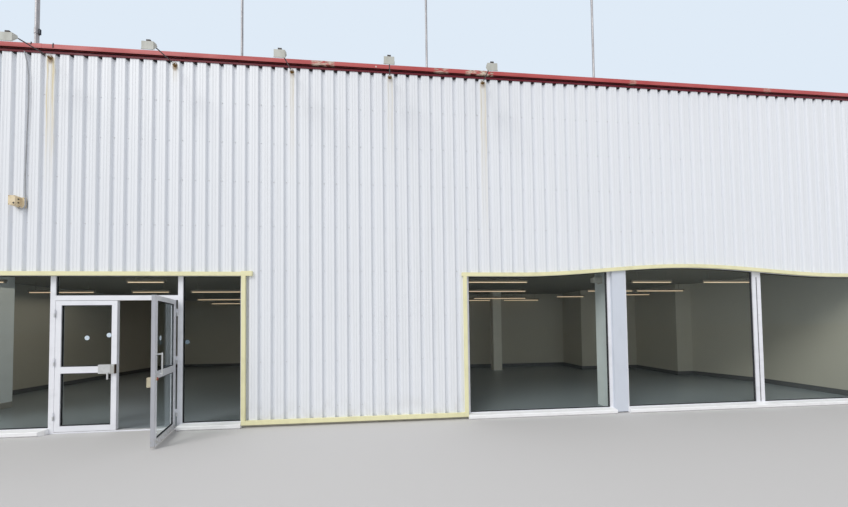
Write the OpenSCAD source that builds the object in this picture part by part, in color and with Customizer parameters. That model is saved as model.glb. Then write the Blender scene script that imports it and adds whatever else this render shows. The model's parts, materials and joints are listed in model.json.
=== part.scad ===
// Single-storey supermarket hall with ribbed metal cladding, a glazed entrance and three shop windows.
// Millimetres, +Z up, ground at Z = 0, front of the building towards -Y, origin at the footprint centre.

/* [Footprint] */
// Plain wall left of the entrance
left_pier_w = 1685; // [600:5:4000]
// Plain wall between the entrance and the shop windows
centre_wall_w = 3750; // [1500:5:8000]
// Plain wall right of the shop windows
right_pier_w = 250; // [240:5:3000]
// Depth of the building, cladding face to cladding face
depth = 8600; // [7000:10:14000]

/* [Walls and roof] */
// Thickness of the wall behind the cladding
wall_t = 160; // [100:5:300]
// Height of the wall under the coping
wall_h = 6100; // [4500:10:7500]
// Underside of the hall ceiling
ceiling_z = 2810; // [2790:5:3600]
// Thickness of the ceiling
ceiling_t = 40; // [20:5:120]
// Height of the parapet above the roof deck
parapet_h = 320; // [200:10:900]
// Thickness of the roof deck
roof_t = 180; // [80:5:300]
// Floor level above the ground
floor_z = 20; // [15:5:40]

/* [Cladding] */
// Distance between the grooves of the sheet
rib_pitch = 207; // [150:1:333]
// Depth of the grooves
rib_depth = 35; // [15:1:60]
// Width of a groove at its bottom
groove_w = 36; // [20:1:60]
// Width of each sloping side of a groove
rib_slope = 20; // [8:1:30]
// Thickness of the sheet
sheet_t = 2; // [1:0.5:4]
// Distance from the left corner to the first groove
groove_start = 74; // [60:1:140]
// Height of the lower edge of the cladding
cladding_base_z = 60; // [40:5:200]

/* [Coping] */
// Height of the coping above the top of the wall
coping_h = 60; // [30:1:120]
// Height of the front face of the coping
coping_face_h = 78; // [70:1:200]
// Overhang of the coping in front of the cladding
coping_out = 40; // [20:1:100]
// Overhang of the coping over the inside of the wall
coping_in = 30; // [5:1:100]
// Height of the strip under the coping
strip_h = 50; // [20:1:120]
// Thickness of the strip under the coping
strip_t = 12; // [4:1:20]

/* [Trims] */
// Height of the yellow trims over the openings
trim_h = 65; // [40:1:120]
// Width of the yellow trims beside the openings
trim_w = 62; // [40:1:120]
// Thickness of the yellow trims
trim_t = 40; // [10:1:60]
// How far the head trim of the entrance runs past the side of the opening
trim_past = 165; // [70:5:200]
// How far the head trim of the windows runs past the side of the opening
window_trim_past = 84; // [62:1:150]
// Height of the trim along the base of the cladding
base_trim_h = 68; // [40:1:120]
// Width of the corner angles
corner_w = 110; // [60:5:200]

/* [Openings] */
// Height of the openings at their straight stretches
opening_h = 2530; // [2350:5:2700]
// Rise of the bowed head over the shop windows
bow_rise = 168; // [0:2:220]
// Start of the bow from the left of the window row
bow_start = 900; // [0:50:2000]
// Length of the bow
bow_len = 6600; // [4000:50:7500]

/* [Frames] */
// Set-back of the window and door frames behind the cladding face
frame_back = 50; // [40:1:100]
// Depth of the frames
frame_d = 50; // [40:1:80]
// Width of the outer frame members
frame_w = 50; // [35:1:80]
// Width of the entrance posts
post_w = 75; // [50:1:120]
// Height of the bottom rails above the ground
bottom_rail_h = 92; // [80:4:300]
// Thickness of the glass
glass_t = 8; // [4:1:12]
// How far a sill stands out in front of the cladding face
sill_out = 60; // [30:5:120]
// Height of the front of a sill
sill_h = 68; // [48:4:76]

/* [Entrance] */
// Clear width of the fixed pane left of the doors
left_pane_w = 2600; // [800:5:3500]
// Clear width between the posts of the double door
doorway_w = 1815; // [1400:5:2400]
// Clear width of the fixed pane right of the doors
side_pane_w = 900; // [400:5:1500]
// Underside of the rail over the doors
transom_z = 2090; // [1950:5:2200]
// Height of the rail over the doors
transom_h = 78; // [50:1:120]

/* [Door leaves] */
// Thickness of a door leaf
leaf_t = 45; // [35:1:50]
// Width of the upright members of a leaf
stile_w = 80; // [60:1:120]
// Height of the top rail of a leaf
top_rail_h = 70; // [50:1:120]
// Height of the middle rail of a leaf
mid_rail_h = 102; // [60:1:200]
// Height of the underside of the middle rail
mid_rail_z = 938; // [800:2:1100]
// Height of the bottom rail of a leaf
leaf_rail_h = 85; // [60:1:200]
// Gap under a leaf
leaf_gap_z = 8; // [6:1:20]
// Gap between a leaf and its post or head
leaf_gap = 6; // [5:1:12]
// Gap between the two leaves
meeting_gap = 9; // [8:1:14]
// Angle at which the right leaf stands open
open_angle = 110; // [60:1:112]
// Radius of the hinge knuckles
knuckle_r = 9; // [7:1:12]

/* [Shop windows] */
// Clear width of the first pane
pane_1_w = 2600; // [1200:5:3500]
// Clear width of the second pane
pane_2_w = 2600; // [1200:5:3500]
// Clear width of the third pane
pane_3_w = 2400; // [1200:5:3500]
// Width of the flat cover post between the first two panes
cover_post_w = 250; // [120:5:400]
// Width of the frame member on each side of the cover post
cover_side_w = 60; // [40:1:100]
// Width of the mullion between the last two panes
mullion_w = 175; // [60:5:250]

/* [Hall] */
// Side of the square columns
column_w = 300; // [200:10:500]
// How far the right front column starts past the left edge of the cover post
column_set = 50; // [0:5:200]
// Distance of the right front column behind the cladding face
column_back = 260; // [230:10:800]
// Distance from the left face of the rear column to the cover post
rear_column_set = 540; // [300:10:1200]
// Distance of the rear column in front of the back wall
rear_column_gap = 570; // [100:10:1400]
// Distance of the left column from the left wall
left_column_in = 1200; // [300:10:2000]
// Distance of the left column behind the cladding face
left_column_back = 1650; // [1000:10:4000]
// Width of the walled-off rear of the hall
store_w = 9800; // [8800:10:11000]
// Depth of the walled-off rear of the hall
store_d = 2200; // [1600:10:2260]
// Width of its forward step
step_w = 3050; // [2400:10:4500]
// How far the step stands forward
step_d = 1200; // [600:10:1600]
// Width of the pier at its right end
nib_w = 1000; // [400:10:1800]
// How far that pier stands forward
nib_d = 1600; // [300:10:2000]
// Width of the splayed wall between that pier and the right wall
splay_w = 490; // [200:10:700]
// How far the splayed wall runs forward
splay_d = 1350; // [600:10:2000]
// Thickness of the inner walls
inner_wall_t = 100; // [75:5:200]
// Height of the skirting
skirting_h = 120; // [50:5:200]
// Thickness of the skirting
skirting_t = 12; // [8:1:20]
// Width of a strip light
light_w = 50; // [40:5:150]
// Height of a strip light
light_h = 40; // [30:5:90]
// Drop of the strip lights under the ceiling
light_drop = 200; // [20:5:300]

/* [Roof fittings] */
// Rib of the first lamp, counted from the left corner
lamp_first_rib = 20; // [8:1:24]
// Ribs between the lamps
lamp_ribs = 9; // [6:1:9]
// Reach of a lamp arm in front of the cladding
lamp_reach = 560; // [300:10:900]
// Width of a lamp housing
lamp_w = 164; // [120:2:300]
// Height of a lamp housing
housing_h = 118; // [90:2:240]
// Distance of the first mast from the left corner
mast_start = 3820; // [1000:10:6000]
// Distance between the masts
mast_pitch = 3280; // [1500:10:4000]
// Number of masts
mast_count = 4; // [1:1:4]
// Height of the masts above the wall
mast_h = 2300; // [700:50:3400]
// Radius of a mast
mast_r = 20; // [12:1:40]
// Radius of the first mast
first_mast_r = 28; // [16:1:50]

/* [Wall fittings] */
// Distance of the junction box from the left corner
box_x = 3905; // [2500:5:5500]
// Height of the middle of the junction box
box_z = 3630; // [3000:10:5000]
// Width of the junction box
box_w = 90; // [60:5:250]
// Height of the junction box
box_h = 142; // [80:2:300]
// Depth of the junction box
box_d = 78; // [40:2:150]
// Radius of the cable from the junction box
cable_r = 8; // [5:1:12]

/* [Hidden] */

touch = 0.3;
eps = 0.01;

entrance_w = frame_w + left_pane_w + post_w + doorway_w + post_w + side_pane_w + frame_w;
windows_w = frame_w + pane_1_w + cover_side_w + cover_post_w + cover_side_w + pane_2_w + mullion_w
    + pane_3_w + frame_w;
length = left_pier_w + entrance_w + centre_wall_w + windows_w + right_pier_w;
x_left = -length / 2;
x_right = length / 2;
y_front = -depth / 2;
y_back = depth / 2;
skin = rib_depth + sheet_t;

// Places along the front, from left to right
x_entrance = x_left + left_pier_w;
x_left_pane = x_entrance + frame_w;
x_post_l = x_left_pane + left_pane_w;
x_doorway = x_post_l + post_w;
x_post_r = x_doorway + doorway_w;
x_side_pane = x_post_r + post_w;
x_entrance_end = x_entrance + entrance_w;
x_windows = x_entrance_end + centre_wall_w;
x_pane_1 = x_windows + frame_w;
x_cover = x_pane_1 + pane_1_w + cover_side_w;
x_pane_2 = x_cover + cover_post_w + cover_side_w;
x_mullion = x_pane_2 + pane_2_w;
x_pane_3 = x_mullion + mullion_w;
x_windows_end = x_windows + windows_w;

// Places from front to back
y_core = y_front + skin;
y_inner = y_core + wall_t;
y_frame = y_front + frame_back;
y_frame_back = y_frame + frame_d;
y_glass = y_frame + (frame_d - glass_t) / 2;
x_inner_l = x_left + skin + wall_t;
x_inner_r = x_right - skin - wall_t;
y_inner_b = y_back - skin - wall_t;

// Door leaves and hinges
leaf_w = (doorway_w - 2 * leaf_gap - meeting_gap) / 2;
leaf_z = floor_z + leaf_gap_z;
leaf_h = transom_z - leaf_gap - leaf_z;
hinge_out = knuckle_r + 3;
y_hinge = y_frame - hinge_out;
x_hinge_l = x_doorway + leaf_gap / 2;
x_hinge_r = x_post_r - leaf_gap / 2;
pin_r = 5;
pin_clear = 0.2;
knuckle_h = 60;
hinge_in = 180;
hinge_zs = [leaf_z + hinge_in, leaf_z + leaf_h / 2, leaf_z + leaf_h - hinge_in - 80];

roof_z = wall_h - parapet_h;

// Outline of the front openings: the head over the windows rises above its ends in straight steps
bow_steps = 28;
bow_xs = [for (i = [0:bow_steps]) x_windows + bow_start + i * bow_len / bow_steps];
bow_table = [for (i = [0:bow_steps]) [bow_xs[i], bow_rise * (1 - cos(360 * i / bow_steps)) / 2]];
function bow_z(x) = lookup(x, bow_table);

// Points along the head between two places, at a distance above the opening height
function head_points(xa, xb, z) = concat(
    [[xa, z + bow_z(xa)]],
    [for (x = bow_xs) if (x > xa + 1 && x < xb - 1) [x, z + bow_z(x)]],
    [[xb, z + bow_z(xb)]]);
function reversed(p) = [for (i = [len(p) - 1:-1:0]) p[i]];

module bar(x, y, z, w, d, h) {
    translate([x, y, z]) cube([w, d, h]);
}

// A plate in the plane of the front, from an outline in X and Z
module front_plate(y, t, points) {
    translate([0, y + t, 0]) rotate([90, 0, 0]) linear_extrude(t) polygon(points);
}

// Walls
module floor_slab() {
    color("gray") union() {
        bar(x_inner_l, y_inner, 0, x_inner_r - x_inner_l, y_inner_b - y_inner, floor_z);
        bar(x_entrance, y_frame_back, 0, entrance_w, y_inner - y_frame_back + eps, floor_z);
        bar(x_windows, y_frame_back, 0, windows_w, y_inner - y_frame_back + eps, floor_z);
    }
}

module front_wall_left() {
    color("ivory") bar(x_left + skin, y_core, 0, left_pier_w - skin, wall_t, wall_h);
}

module front_wall_over_entrance() {
    color("ivory") bar(x_entrance, y_core, opening_h, entrance_w, wall_t, wall_h - opening_h);
}

module front_wall_centre() {
    color("ivory") bar(x_entrance_end, y_core, 0, centre_wall_w, wall_t, wall_h);
}

module front_wall_over_windows() {
    color("ivory") front_plate(y_core, wall_t, concat(
        head_points(x_windows, x_windows_end, opening_h),
        [[x_windows_end, wall_h], [x_windows, wall_h]]));
}

module front_wall_right() {
    color("ivory") bar(x_windows_end, y_core, 0, right_pier_w - skin, wall_t, wall_h);
}

module side_wall(x) {
    color("ivory") bar(x, y_inner, 0, wall_t, y_inner_b - y_inner, wall_h);
}

module left_wall() { side_wall(x_left + skin); }

module right_wall() { side_wall(x_inner_r); }

module back_wall() {
    color("ivory") bar(x_left + skin, y_inner_b, 0, length - 2 * skin, wall_t, wall_h);
}

// Cladding: a folded sheet, crests outward, as one closed outline from a to b along its run.
// The face is at y = 0 and the back of each groove touches the wall at y = skin.
function rib_line(g, back) =
    let (e = back ? sheet_t : 0, s = back ? -sheet_t * 0.45 : 0)
    [[g - groove_w / 2 - rib_slope + s, e], [g - groove_w / 2 + s, rib_depth + e],
     [g + groove_w / 2 - s, rib_depth + e], [g + groove_w / 2 + rib_slope - s, e]];

module sheet_profile(a, b, start) {
    half = groove_w / 2 + rib_slope + sheet_t;
    first = ceil((a + half - start) / rib_pitch);
    last = floor((b - half - start) / rib_pitch);
    front_line = concat([[a, 0]],
        [for (k = [first:last]) each rib_line(start + k * rib_pitch, false)], [[b, 0]]);
    back_line = concat([[a, sheet_t]],
        [for (k = [first:last]) each rib_line(start + k * rib_pitch, true)], [[b, sheet_t]]);
    polygon(concat(front_line, reversed(back_line)));
}

module front_cladding(a, b, z0) {
    translate([x_left, y_front, z0])
        linear_extrude(wall_h - z0) sheet_profile(a - x_left, b - x_left, groove_start);
}

module cladding_front_left() {
    color("whitesmoke") front_cladding(x_left + trim_seat, x_entrance, cladding_base_z);
}

module cladding_over_entrance() {
    color("whitesmoke") front_cladding(x_entrance, x_entrance_end, opening_h);
}

module cladding_front_centre() {
    color("whitesmoke") front_cladding(x_entrance_end, x_windows, cladding_base_z);
}

module cladding_over_windows() {
    color("whitesmoke") difference() {
        front_cladding(x_windows, x_windows_end, opening_h);
        front_plate(y_front - 1, skin + 2, concat(
            head_points(x_windows - 1, x_windows_end + 1, opening_h),
            [[x_windows_end + 1, opening_h - 10], [x_windows - 1, opening_h - 10]]));
    }
}

module cladding_front_right() {
    color("whitesmoke") front_cladding(x_windows_end, x_right - trim_seat, cladding_base_z);
}

// Each side runs between the corner angles, seen from outside from left to right
trim_seat = 4;
module side_cladding(run) {
    linear_extrude(wall_h - cladding_base_z)
        sheet_profile(trim_seat, run - trim_seat, groove_start);
}

module cladding_left() {
    color("whitesmoke") translate([x_left, y_back, cladding_base_z]) rotate(-90) side_cladding(depth);
}

module cladding_right() {
    color("whitesmoke") translate([x_right, y_front, cladding_base_z]) rotate(90) side_cladding(depth);
}

module cladding_back() {
    color("whitesmoke") translate([x_right, y_back, cladding_base_z]) rotate(180) side_cladding(length);
}

// Angles that close the four corners outside the cladding
corner_t = 3;
module corner_angle() {
    translate([-corner_t, -corner_t, cladding_base_z]) linear_extrude(wall_h - coping_leg - cladding_base_z)
        polygon([[0, 0], [corner_w, 0], [corner_w, corner_t], [corner_t, corner_t],
                 [corner_t, corner_w], [0, corner_w]]);
}

coping_leg = coping_face_h - coping_h + strip_h;
module corner_angles() {
    color("whitesmoke") {
        translate([x_left, y_front, 0]) corner_angle();
        translate([x_right, y_front, 0]) rotate(90) corner_angle();
        translate([x_right, y_back, 0]) rotate(180) corner_angle();
        translate([x_left, y_back, 0]) rotate(270) corner_angle();
    }
}

// Roof
module roof_deck() {
    color("dimgray") bar(x_inner_l, y_inner, roof_z - roof_t,
        x_inner_r - x_inner_l, y_inner_b - y_inner, roof_t);
}

module ceiling() {
    color("dimgray") bar(x_inner_l, y_inner, ceiling_z,
        x_inner_r - x_inner_l, y_inner_b - y_inner, ceiling_t);
}

// Section of the coping over a wall whose cladding face is at 0, inward positive
coping_fall = 10;
coping_fold = 6;
coping_drip = 35;
module coping_section() {
    inner = skin + wall_t + coping_in;
    face_z = coping_h - coping_face_h;
    polygon([[-coping_out, coping_h - coping_fold], [-coping_out, face_z], [-strip_t, face_z + coping_fold],
             [-strip_t, face_z - strip_h], [0, face_z - strip_h], [0, 0],
             [skin + wall_t, 0], [skin + wall_t, -coping_drip], [inner, -coping_drip],
             [inner, coping_h - coping_fall], [-coping_out + coping_fold, coping_h]]);
}

module coping_run(run) {
    rotate([90, 0, 90]) linear_extrude(run) coping_section();
}

// One mitred side: the run is cut at 45 degrees at both ends, with an open joint at each mitre
coping_joint = 1;
coping_room = 10;
module coping_side(run) {
    far = skin + wall_t + coping_in + coping_room;
    near = coping_out + coping_room;
    intersection() {
        translate([-coping_out, 0, wall_h]) coping_run(run + 2 * coping_out);
        translate([0, 0, wall_h - coping_leg - coping_room])
            linear_extrude(coping_leg + coping_h + 2 * coping_room) polygon([[-near + coping_joint, -near], [run + near - coping_joint, -near],
                     [run - far - coping_joint, far], [far + coping_joint, far]]);
    }
}

module coping() {
    color("firebrick") {
        translate([x_left, y_front, 0]) coping_side(length);
        translate([x_right, y_front, 0]) rotate(90) coping_side(depth);
        translate([x_right, y_back, 0]) rotate(180) coping_side(length);
        translate([x_left, y_back, 0]) rotate(270) coping_side(depth);
    }
}

// Yellow trims round the openings and along the base of the cladding
y_trim = y_front - trim_t;
trim_lap = 10;
trim_z = opening_h - trim_h + trim_lap;
base_lap = 15;
base_trim_z = cladding_base_z - base_lap;
module entrance_trim() {
    color("khaki") union() {
        bar(x_entrance - trim_past, y_trim, trim_z, entrance_w + 2 * trim_past, trim_t, trim_h);
        side_trim(x_entrance - trim_w);
        side_trim(x_entrance_end);
    }
}

// The side trims run up behind the face of the head trim
module side_trim(x) {
    bar(x, y_trim, base_trim_z, trim_w, trim_t, trim_z + trim_h / 2 - base_trim_z);
}

module window_trim() {
    low = x_windows - window_trim_past;
    high = x_windows_end + window_trim_past;
    color("khaki") union() {
        front_plate(y_trim, trim_t, concat(head_points(low, high, trim_z),
            reversed(head_points(low, high, trim_z + trim_h))));
        side_trim(x_windows - trim_w);
        side_trim(x_windows_end);
    }
}

module base_bar(x, y, w, d) {
    bar(x, y, base_trim_z, w, d, base_trim_h);
}

module base_trim() {
    out = corner_t + touch;
    color("khaki") {
        union() {
            base_bar(x_left - trim_t, y_trim, left_pier_w + trim_t - trim_w, trim_t - out);
            base_bar(x_left - trim_t, y_trim, trim_t - out, depth + 2 * trim_t);
            base_bar(x_left - trim_t, y_back + out, length + 2 * trim_t, trim_t - out);
            base_bar(x_right + out, y_trim, trim_t - out, depth + 2 * trim_t);
            base_bar(x_windows_end + trim_w, y_trim, right_pier_w - trim_w + trim_t, trim_t - out);
        }
        base_bar(x_entrance_end + trim_w, y_trim, centre_wall_w - 2 * trim_w, trim_t);
    }
}

// Entrance
module post(x, w) {
    bar(x, y_frame, 0, w, frame_d, opening_h);
}

module entrance_posts() {
    color("gainsboro") {
        post(x_entrance, frame_w);
        post(x_post_l, post_w);
        post(x_post_r, post_w);
        post(x_entrance_end - frame_w, frame_w);
    }
}

module rail(x, w, z, h) {
    bar(x, y_frame, z, w, frame_d, h);
}

module entrance_rails() {
    head_z = opening_h - frame_w;
    color("gainsboro") {
        rail(x_left_pane, left_pane_w, 0, bottom_rail_h);
        rail(x_left_pane, left_pane_w, head_z, frame_w);
        rail(x_doorway, doorway_w, 0, floor_z);
        rail(x_doorway, doorway_w, transom_z, transom_h);
        rail(x_doorway, doorway_w, head_z, frame_w);
        rail(x_side_pane, side_pane_w, 0, bottom_rail_h);
        rail(x_side_pane, side_pane_w, head_z, frame_w);
    }
}

module pane(x, w, z0, z1) {
    bar(x, y_glass, z0, w, glass_t, z1 - z0);
}

module entrance_glass() {
    color("lightblue", 0.4) {
        pane(x_left_pane, left_pane_w, bottom_rail_h, opening_h - frame_w);
        pane(x_doorway, doorway_w, transom_z + transom_h, opening_h - frame_w);
        pane(x_side_pane, side_pane_w, bottom_rail_h, opening_h - frame_w);
    }
}

// Shop windows
module bowed_post(x, w) {
    front_plate(y_frame, frame_d, concat([[x, 0], [x + w, 0]],
        reversed(head_points(x, x + w, opening_h))));
}

// The mullion has two members with a set-back joint between them
joint_w = 22;
joint_in = 14;
module mullion() {
    difference() {
        bowed_post(x_mullion, mullion_w);
        bar(x_mullion + (mullion_w - joint_w) / 2, y_frame - joint_in, bottom_rail_h, joint_w, 2 * joint_in,
            opening_h - frame_w - bottom_rail_h);
    }
}

module window_posts() {
    color("gainsboro") {
        bowed_post(x_windows, frame_w);
        bowed_post(x_cover - cover_side_w, 2 * cover_side_w + cover_post_w);
        mullion();
        bowed_post(x_windows_end - frame_w, frame_w);
    }
}

module bowed_rail(x, w) {
    front_plate(y_frame, frame_d, concat(head_points(x, x + w, opening_h - frame_w),
        reversed(head_points(x, x + w, opening_h))));
}

module window_rails() {
    color("gainsboro") {
        rail(x_pane_1, pane_1_w, 0, bottom_rail_h);
        rail(x_pane_2, pane_2_w, 0, bottom_rail_h);
        rail(x_pane_3, pane_3_w, 0, bottom_rail_h);
        bowed_rail(x_pane_1, pane_1_w);
        bowed_rail(x_pane_2, pane_2_w);
        bowed_rail(x_pane_3, pane_3_w);
    }
}

module bowed_pane(x, w) {
    front_plate(y_glass, glass_t, concat([[x, bottom_rail_h], [x + w, bottom_rail_h]],
        reversed(head_points(x, x + w, opening_h - frame_w))));
}

module window_glass() {
    color("lightblue", 0.4) {
        bowed_pane(x_pane_1, pane_1_w);
        bowed_pane(x_pane_2, pane_2_w);
        bowed_pane(x_pane_3, pane_3_w);
    }
}

// Flat metal cover on the structural post, flush with the cladding face
cover_foot = 20;
module window_cover_post() {
    color("lightgray") front_plate(y_front, frame_back, concat([[x_cover, cover_foot],
        [x_cover + cover_post_w, cover_foot]],
        reversed(head_points(x_cover, x_cover + cover_post_w, opening_h))));
}

// Folded sills under the fixed panes
sill_fall = 18;
sill_foot = 15;
sill_edge = 8;
module sill_section() {
    polygon([[frame_back, 0], [-sill_out + sill_foot, 0], [-sill_out, sill_foot], [-sill_out, sill_h - sill_edge],
             [-sill_out + sill_edge, sill_h], [frame_back, sill_h + sill_fall]]);
}

module sill(x, w) {
    translate([x, y_front, 0]) rotate([90, 0, 90]) linear_extrude(w) sill_section();
}

// The sill left of the doors ends at their post with a cut corner, so that the left leaf can open
sill_mitre = 50;
sill_past = 10;
module sills() {
    end = x_post_l + sill_past;
    low = y_front - sill_out;
    color("whitesmoke") {
        difference() {
            sill(x_entrance, end - x_entrance);
            translate([0, 0, -1]) linear_extrude(sill_h + sill_fall)
                polygon([[end + 1, low + sill_mitre + 1], [end + 1, low - 1], [end - sill_mitre, low - 1]]);
        }
        sill(x_side_pane - 2 * sill_past, side_pane_w + frame_w + 2 * sill_past);
        sill(x_windows, x_cover - x_windows);
        sill(x_cover + cover_post_w, x_windows_end - x_cover - cover_post_w);
    }
}

// Door leaves, drawn closed from the hinge edge at x = 0 towards +x, outer face at y = 0
module leaf_frame() {
    difference() {
        cube([leaf_w, leaf_t, leaf_h]);
        low = leaf_rail_h;
        mid = mid_rail_z - leaf_z;
        top = leaf_h - top_rail_h;
        translate([stile_w, -1, low]) cube([leaf_w - 2 * stile_w, leaf_t + 2, mid - low]);
        translate([stile_w, -1, mid + mid_rail_h])
            cube([leaf_w - 2 * stile_w, leaf_t + 2, top - mid - mid_rail_h]);
    }
}

module leaf_glass() {
    mid = mid_rail_z - leaf_z;
    top = leaf_h - top_rail_h;
    y = (leaf_t - glass_t) / 2;
    translate([stile_w, y, leaf_rail_h]) cube([leaf_w - 2 * stile_w, glass_t, mid - leaf_rail_h]);
    translate([stile_w, y, mid + mid_rail_h])
        cube([leaf_w - 2 * stile_w, glass_t, top - mid - mid_rail_h]);
}

// Leaf half of a hinge: a knuckle with the bore for the pin, and its flap on the leaf
module leaf_knuckle() {
    difference() {
        union() {
            cylinder(r = knuckle_r, h = knuckle_h, $fn = 32);
            translate([0, -2, 0]) cube([leaf_gap / 2 + 4, hinge_out + 2, knuckle_h]);
        }
        translate([0, 0, -1]) cylinder(r = pin_r + pin_clear, h = knuckle_h + 2, $fn = 32);
    }
}

// Frame half of a hinge: a lower knuckle with the pin standing on it, and its flap on the post
module frame_knuckle() {
    union() {
        cylinder(r = knuckle_r, h = knuckle_h, $fn = 32);
        translate([-leaf_gap / 2 - 4, -2, 0]) cube([leaf_gap / 2 + 4, hinge_out + 2, knuckle_h]);
        translate([0, 0, knuckle_h - 1]) cylinder(r = pin_r, h = knuckle_h + 4, $fn = 32);
    }
}

module place_left_leaf() {
    translate([x_doorway + leaf_gap, y_frame, leaf_z]) children();
}

module place_right_leaf() {
    translate([x_hinge_r, y_hinge, 0]) rotate(open_angle) translate([-x_hinge_r, -y_hinge, 0])
        translate([x_post_r - leaf_gap, y_frame, leaf_z]) mirror([1, 0, 0]) children();
}

module leaf_hinges() {
    for (z = hinge_zs)
        translate([-leaf_gap / 2, -hinge_out, z - leaf_z + knuckle_h + touch]) leaf_knuckle();
}

module left_door_frame() {
    color("gainsboro") place_left_leaf() union() {
        leaf_frame();
        leaf_hinges();
    }
}

module left_door_glass() {
    color("lightblue", 0.4) place_left_leaf() leaf_glass();
}

// Lock case on the meeting edge, with a deeper end cap, and a lever under it on a boss
lock_w = 250;
lock_h = 145;
lock_t = 26;
lock_low = 15;
lock_cap_w = 72;
lock_cap_t = 32;
lever_w = 20;
lever_h = 110;
lever_t = 10;
lever_in = 118;
module left_door_lock() {
    z = mid_rail_z - leaf_z - lock_low;
    color("silver") place_left_leaf() union() {
        translate([leaf_w - lock_w, -lock_t, z]) cube([lock_w, lock_t, lock_h]);
        translate([leaf_w - lock_cap_w, -lock_cap_t, z]) cube([lock_cap_w, lock_cap_t, lock_h]);
        translate([leaf_w - lever_in, -lock_t - lever_t, z - lever_h + lever_w]) cube([lever_w, lever_t, lever_h]);
        translate([leaf_w - lever_in + lever_w / 2, 1 - lock_t, z + lever_w / 2])
            rotate([90, 0, 0]) cylinder(r = lever_w * 0.7, h = lever_t + 3, $fn = 24);
    }
}

module right_door_frame() {
    color("gainsboro") place_right_leaf() union() {
        leaf_frame();
        leaf_hinges();
    }
}

module right_door_glass() {
    color("lightblue", 0.4) place_right_leaf() leaf_glass();
}

// Pull handle outside, at the free edge
pull_z = 985;
pull_h = 310;
pull_out = 65;
pull_r = 10;
module right_door_handle() {
    x = leaf_w - stile_w / 2;
    z = pull_z - leaf_z;
    color("silver") place_right_leaf() union() {
        translate([x, -pull_out, z]) cylinder(r = pull_r, h = pull_h, $fn = 24);
        for (zz = [z + 2 * pull_r, z + pull_h - 2 * pull_r])
            translate([x, 0, zz]) rotate([90, 0, 0]) cylinder(r = pull_r * 0.9, h = pull_out, $fn = 24);
    }
}

// Cylinder rose outside and latch case inside
rose_r = 22;
rose_t = 14;
rose_drop = 45;
latch_h = 130;
latch_t = 45;
latch_drop = 150;
latch_edge = 6;
module right_door_lock() {
    x = leaf_w - stile_w / 2;
    z = pull_z - leaf_z;
    color("tan") place_right_leaf() {
        translate([x, 0, z - rose_drop]) rotate([90, 0, 0]) cylinder(r = rose_r, h = rose_t, $fn = 32);
        translate([leaf_w - stile_w + latch_edge, leaf_t, z - latch_drop])
            cube([stile_w - 2 * latch_edge, latch_t, latch_h]);
    }
}

module hinges() {
    color("silver") for (z = hinge_zs) {
        translate([x_hinge_l, y_hinge, z]) frame_knuckle();
        translate([x_hinge_r, y_hinge, z]) mirror([1, 0, 0]) frame_knuckle();
    }
}

// Hall
module column(x, y) {
    bar(x, y, floor_z, column_w, column_w, ceiling_z - floor_z);
}

module columns() {
    color("lightgray") {
        column(x_cover + column_set, y_front + column_back);
        column(x_cover - rear_column_set, y_rear_column);
        column(x_inner_l + left_column_in, y_front + left_column_back);
    }
}

// The walled-off rear steps forward twice towards the right wall
x_store = x_inner_r - store_w;
y_store = y_inner_b - store_d;
y_rear_column = y_store - rear_column_gap - column_w;
x_step = x_inner_r - step_w;
y_step = y_store - step_d;
x_nib = x_inner_r - nib_w;
y_nib = y_step - nib_d;

// A wall along the two or three faces of one step
module inner_wall_run(x, y, w, d) {
    bar(x, y, floor_z, inner_wall_t, d, ceiling_z - floor_z);
    bar(x, y, floor_z, w, inner_wall_t, ceiling_z - floor_z);
}

// The splayed wall stands on the line from the end of the pier to the right wall
x_splay = x_inner_r - splay_w;
function splay_x(t) = t * norm([splay_w, splay_d]) / splay_d;
function splay_y(t) = t * norm([splay_w, splay_d]) / splay_w;
module splayed(t, high) {
    translate([0, 0, floor_z]) linear_extrude(high)
        polygon([[x_splay, y_nib], [x_inner_r, y_nib - splay_d], [x_inner_r, y_nib - splay_d + splay_y(t)],
                 [x_splay + splay_x(t), y_nib]]);
}

module inner_walls() {
    t = inner_wall_t;
    color("ivory") union() {
        inner_wall_run(x_store, y_store, x_step - x_store + t, store_d);
        inner_wall_run(x_step, y_step, x_nib - x_step + t, step_d + t);
        inner_wall_run(x_nib, y_nib, nib_w, nib_d + t);
        splayed(t, ceiling_z - floor_z);
    }
}

module skirting_run(x, y, w, d) {
    bar(x - skirting_t, y - skirting_t, floor_z, skirting_t, d, skirting_h);
    bar(x - skirting_t, y - skirting_t, floor_z, w, skirting_t, skirting_h);
}

module skirting() {
    t = skirting_t;
    color("dimgray") {
        union() {
            bar(x_inner_l, y_inner, floor_z, t, y_inner_b - y_inner, skirting_h);
            bar(x_inner_l, y_inner_b - t, floor_z, x_store - x_inner_l, t, skirting_h);
            skirting_run(x_store, y_store, x_step - x_store, store_d + t);
            skirting_run(x_step, y_step, x_nib - x_step, step_d + t);
            skirting_run(x_nib, y_nib, nib_w - splay_w + t, nib_d + t);
            splayed(-t, skirting_h);
            bar(x_inner_r - t, y_inner, floor_z, t, y_nib - splay_d - y_inner, skirting_h);
        }
    }
}

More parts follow.
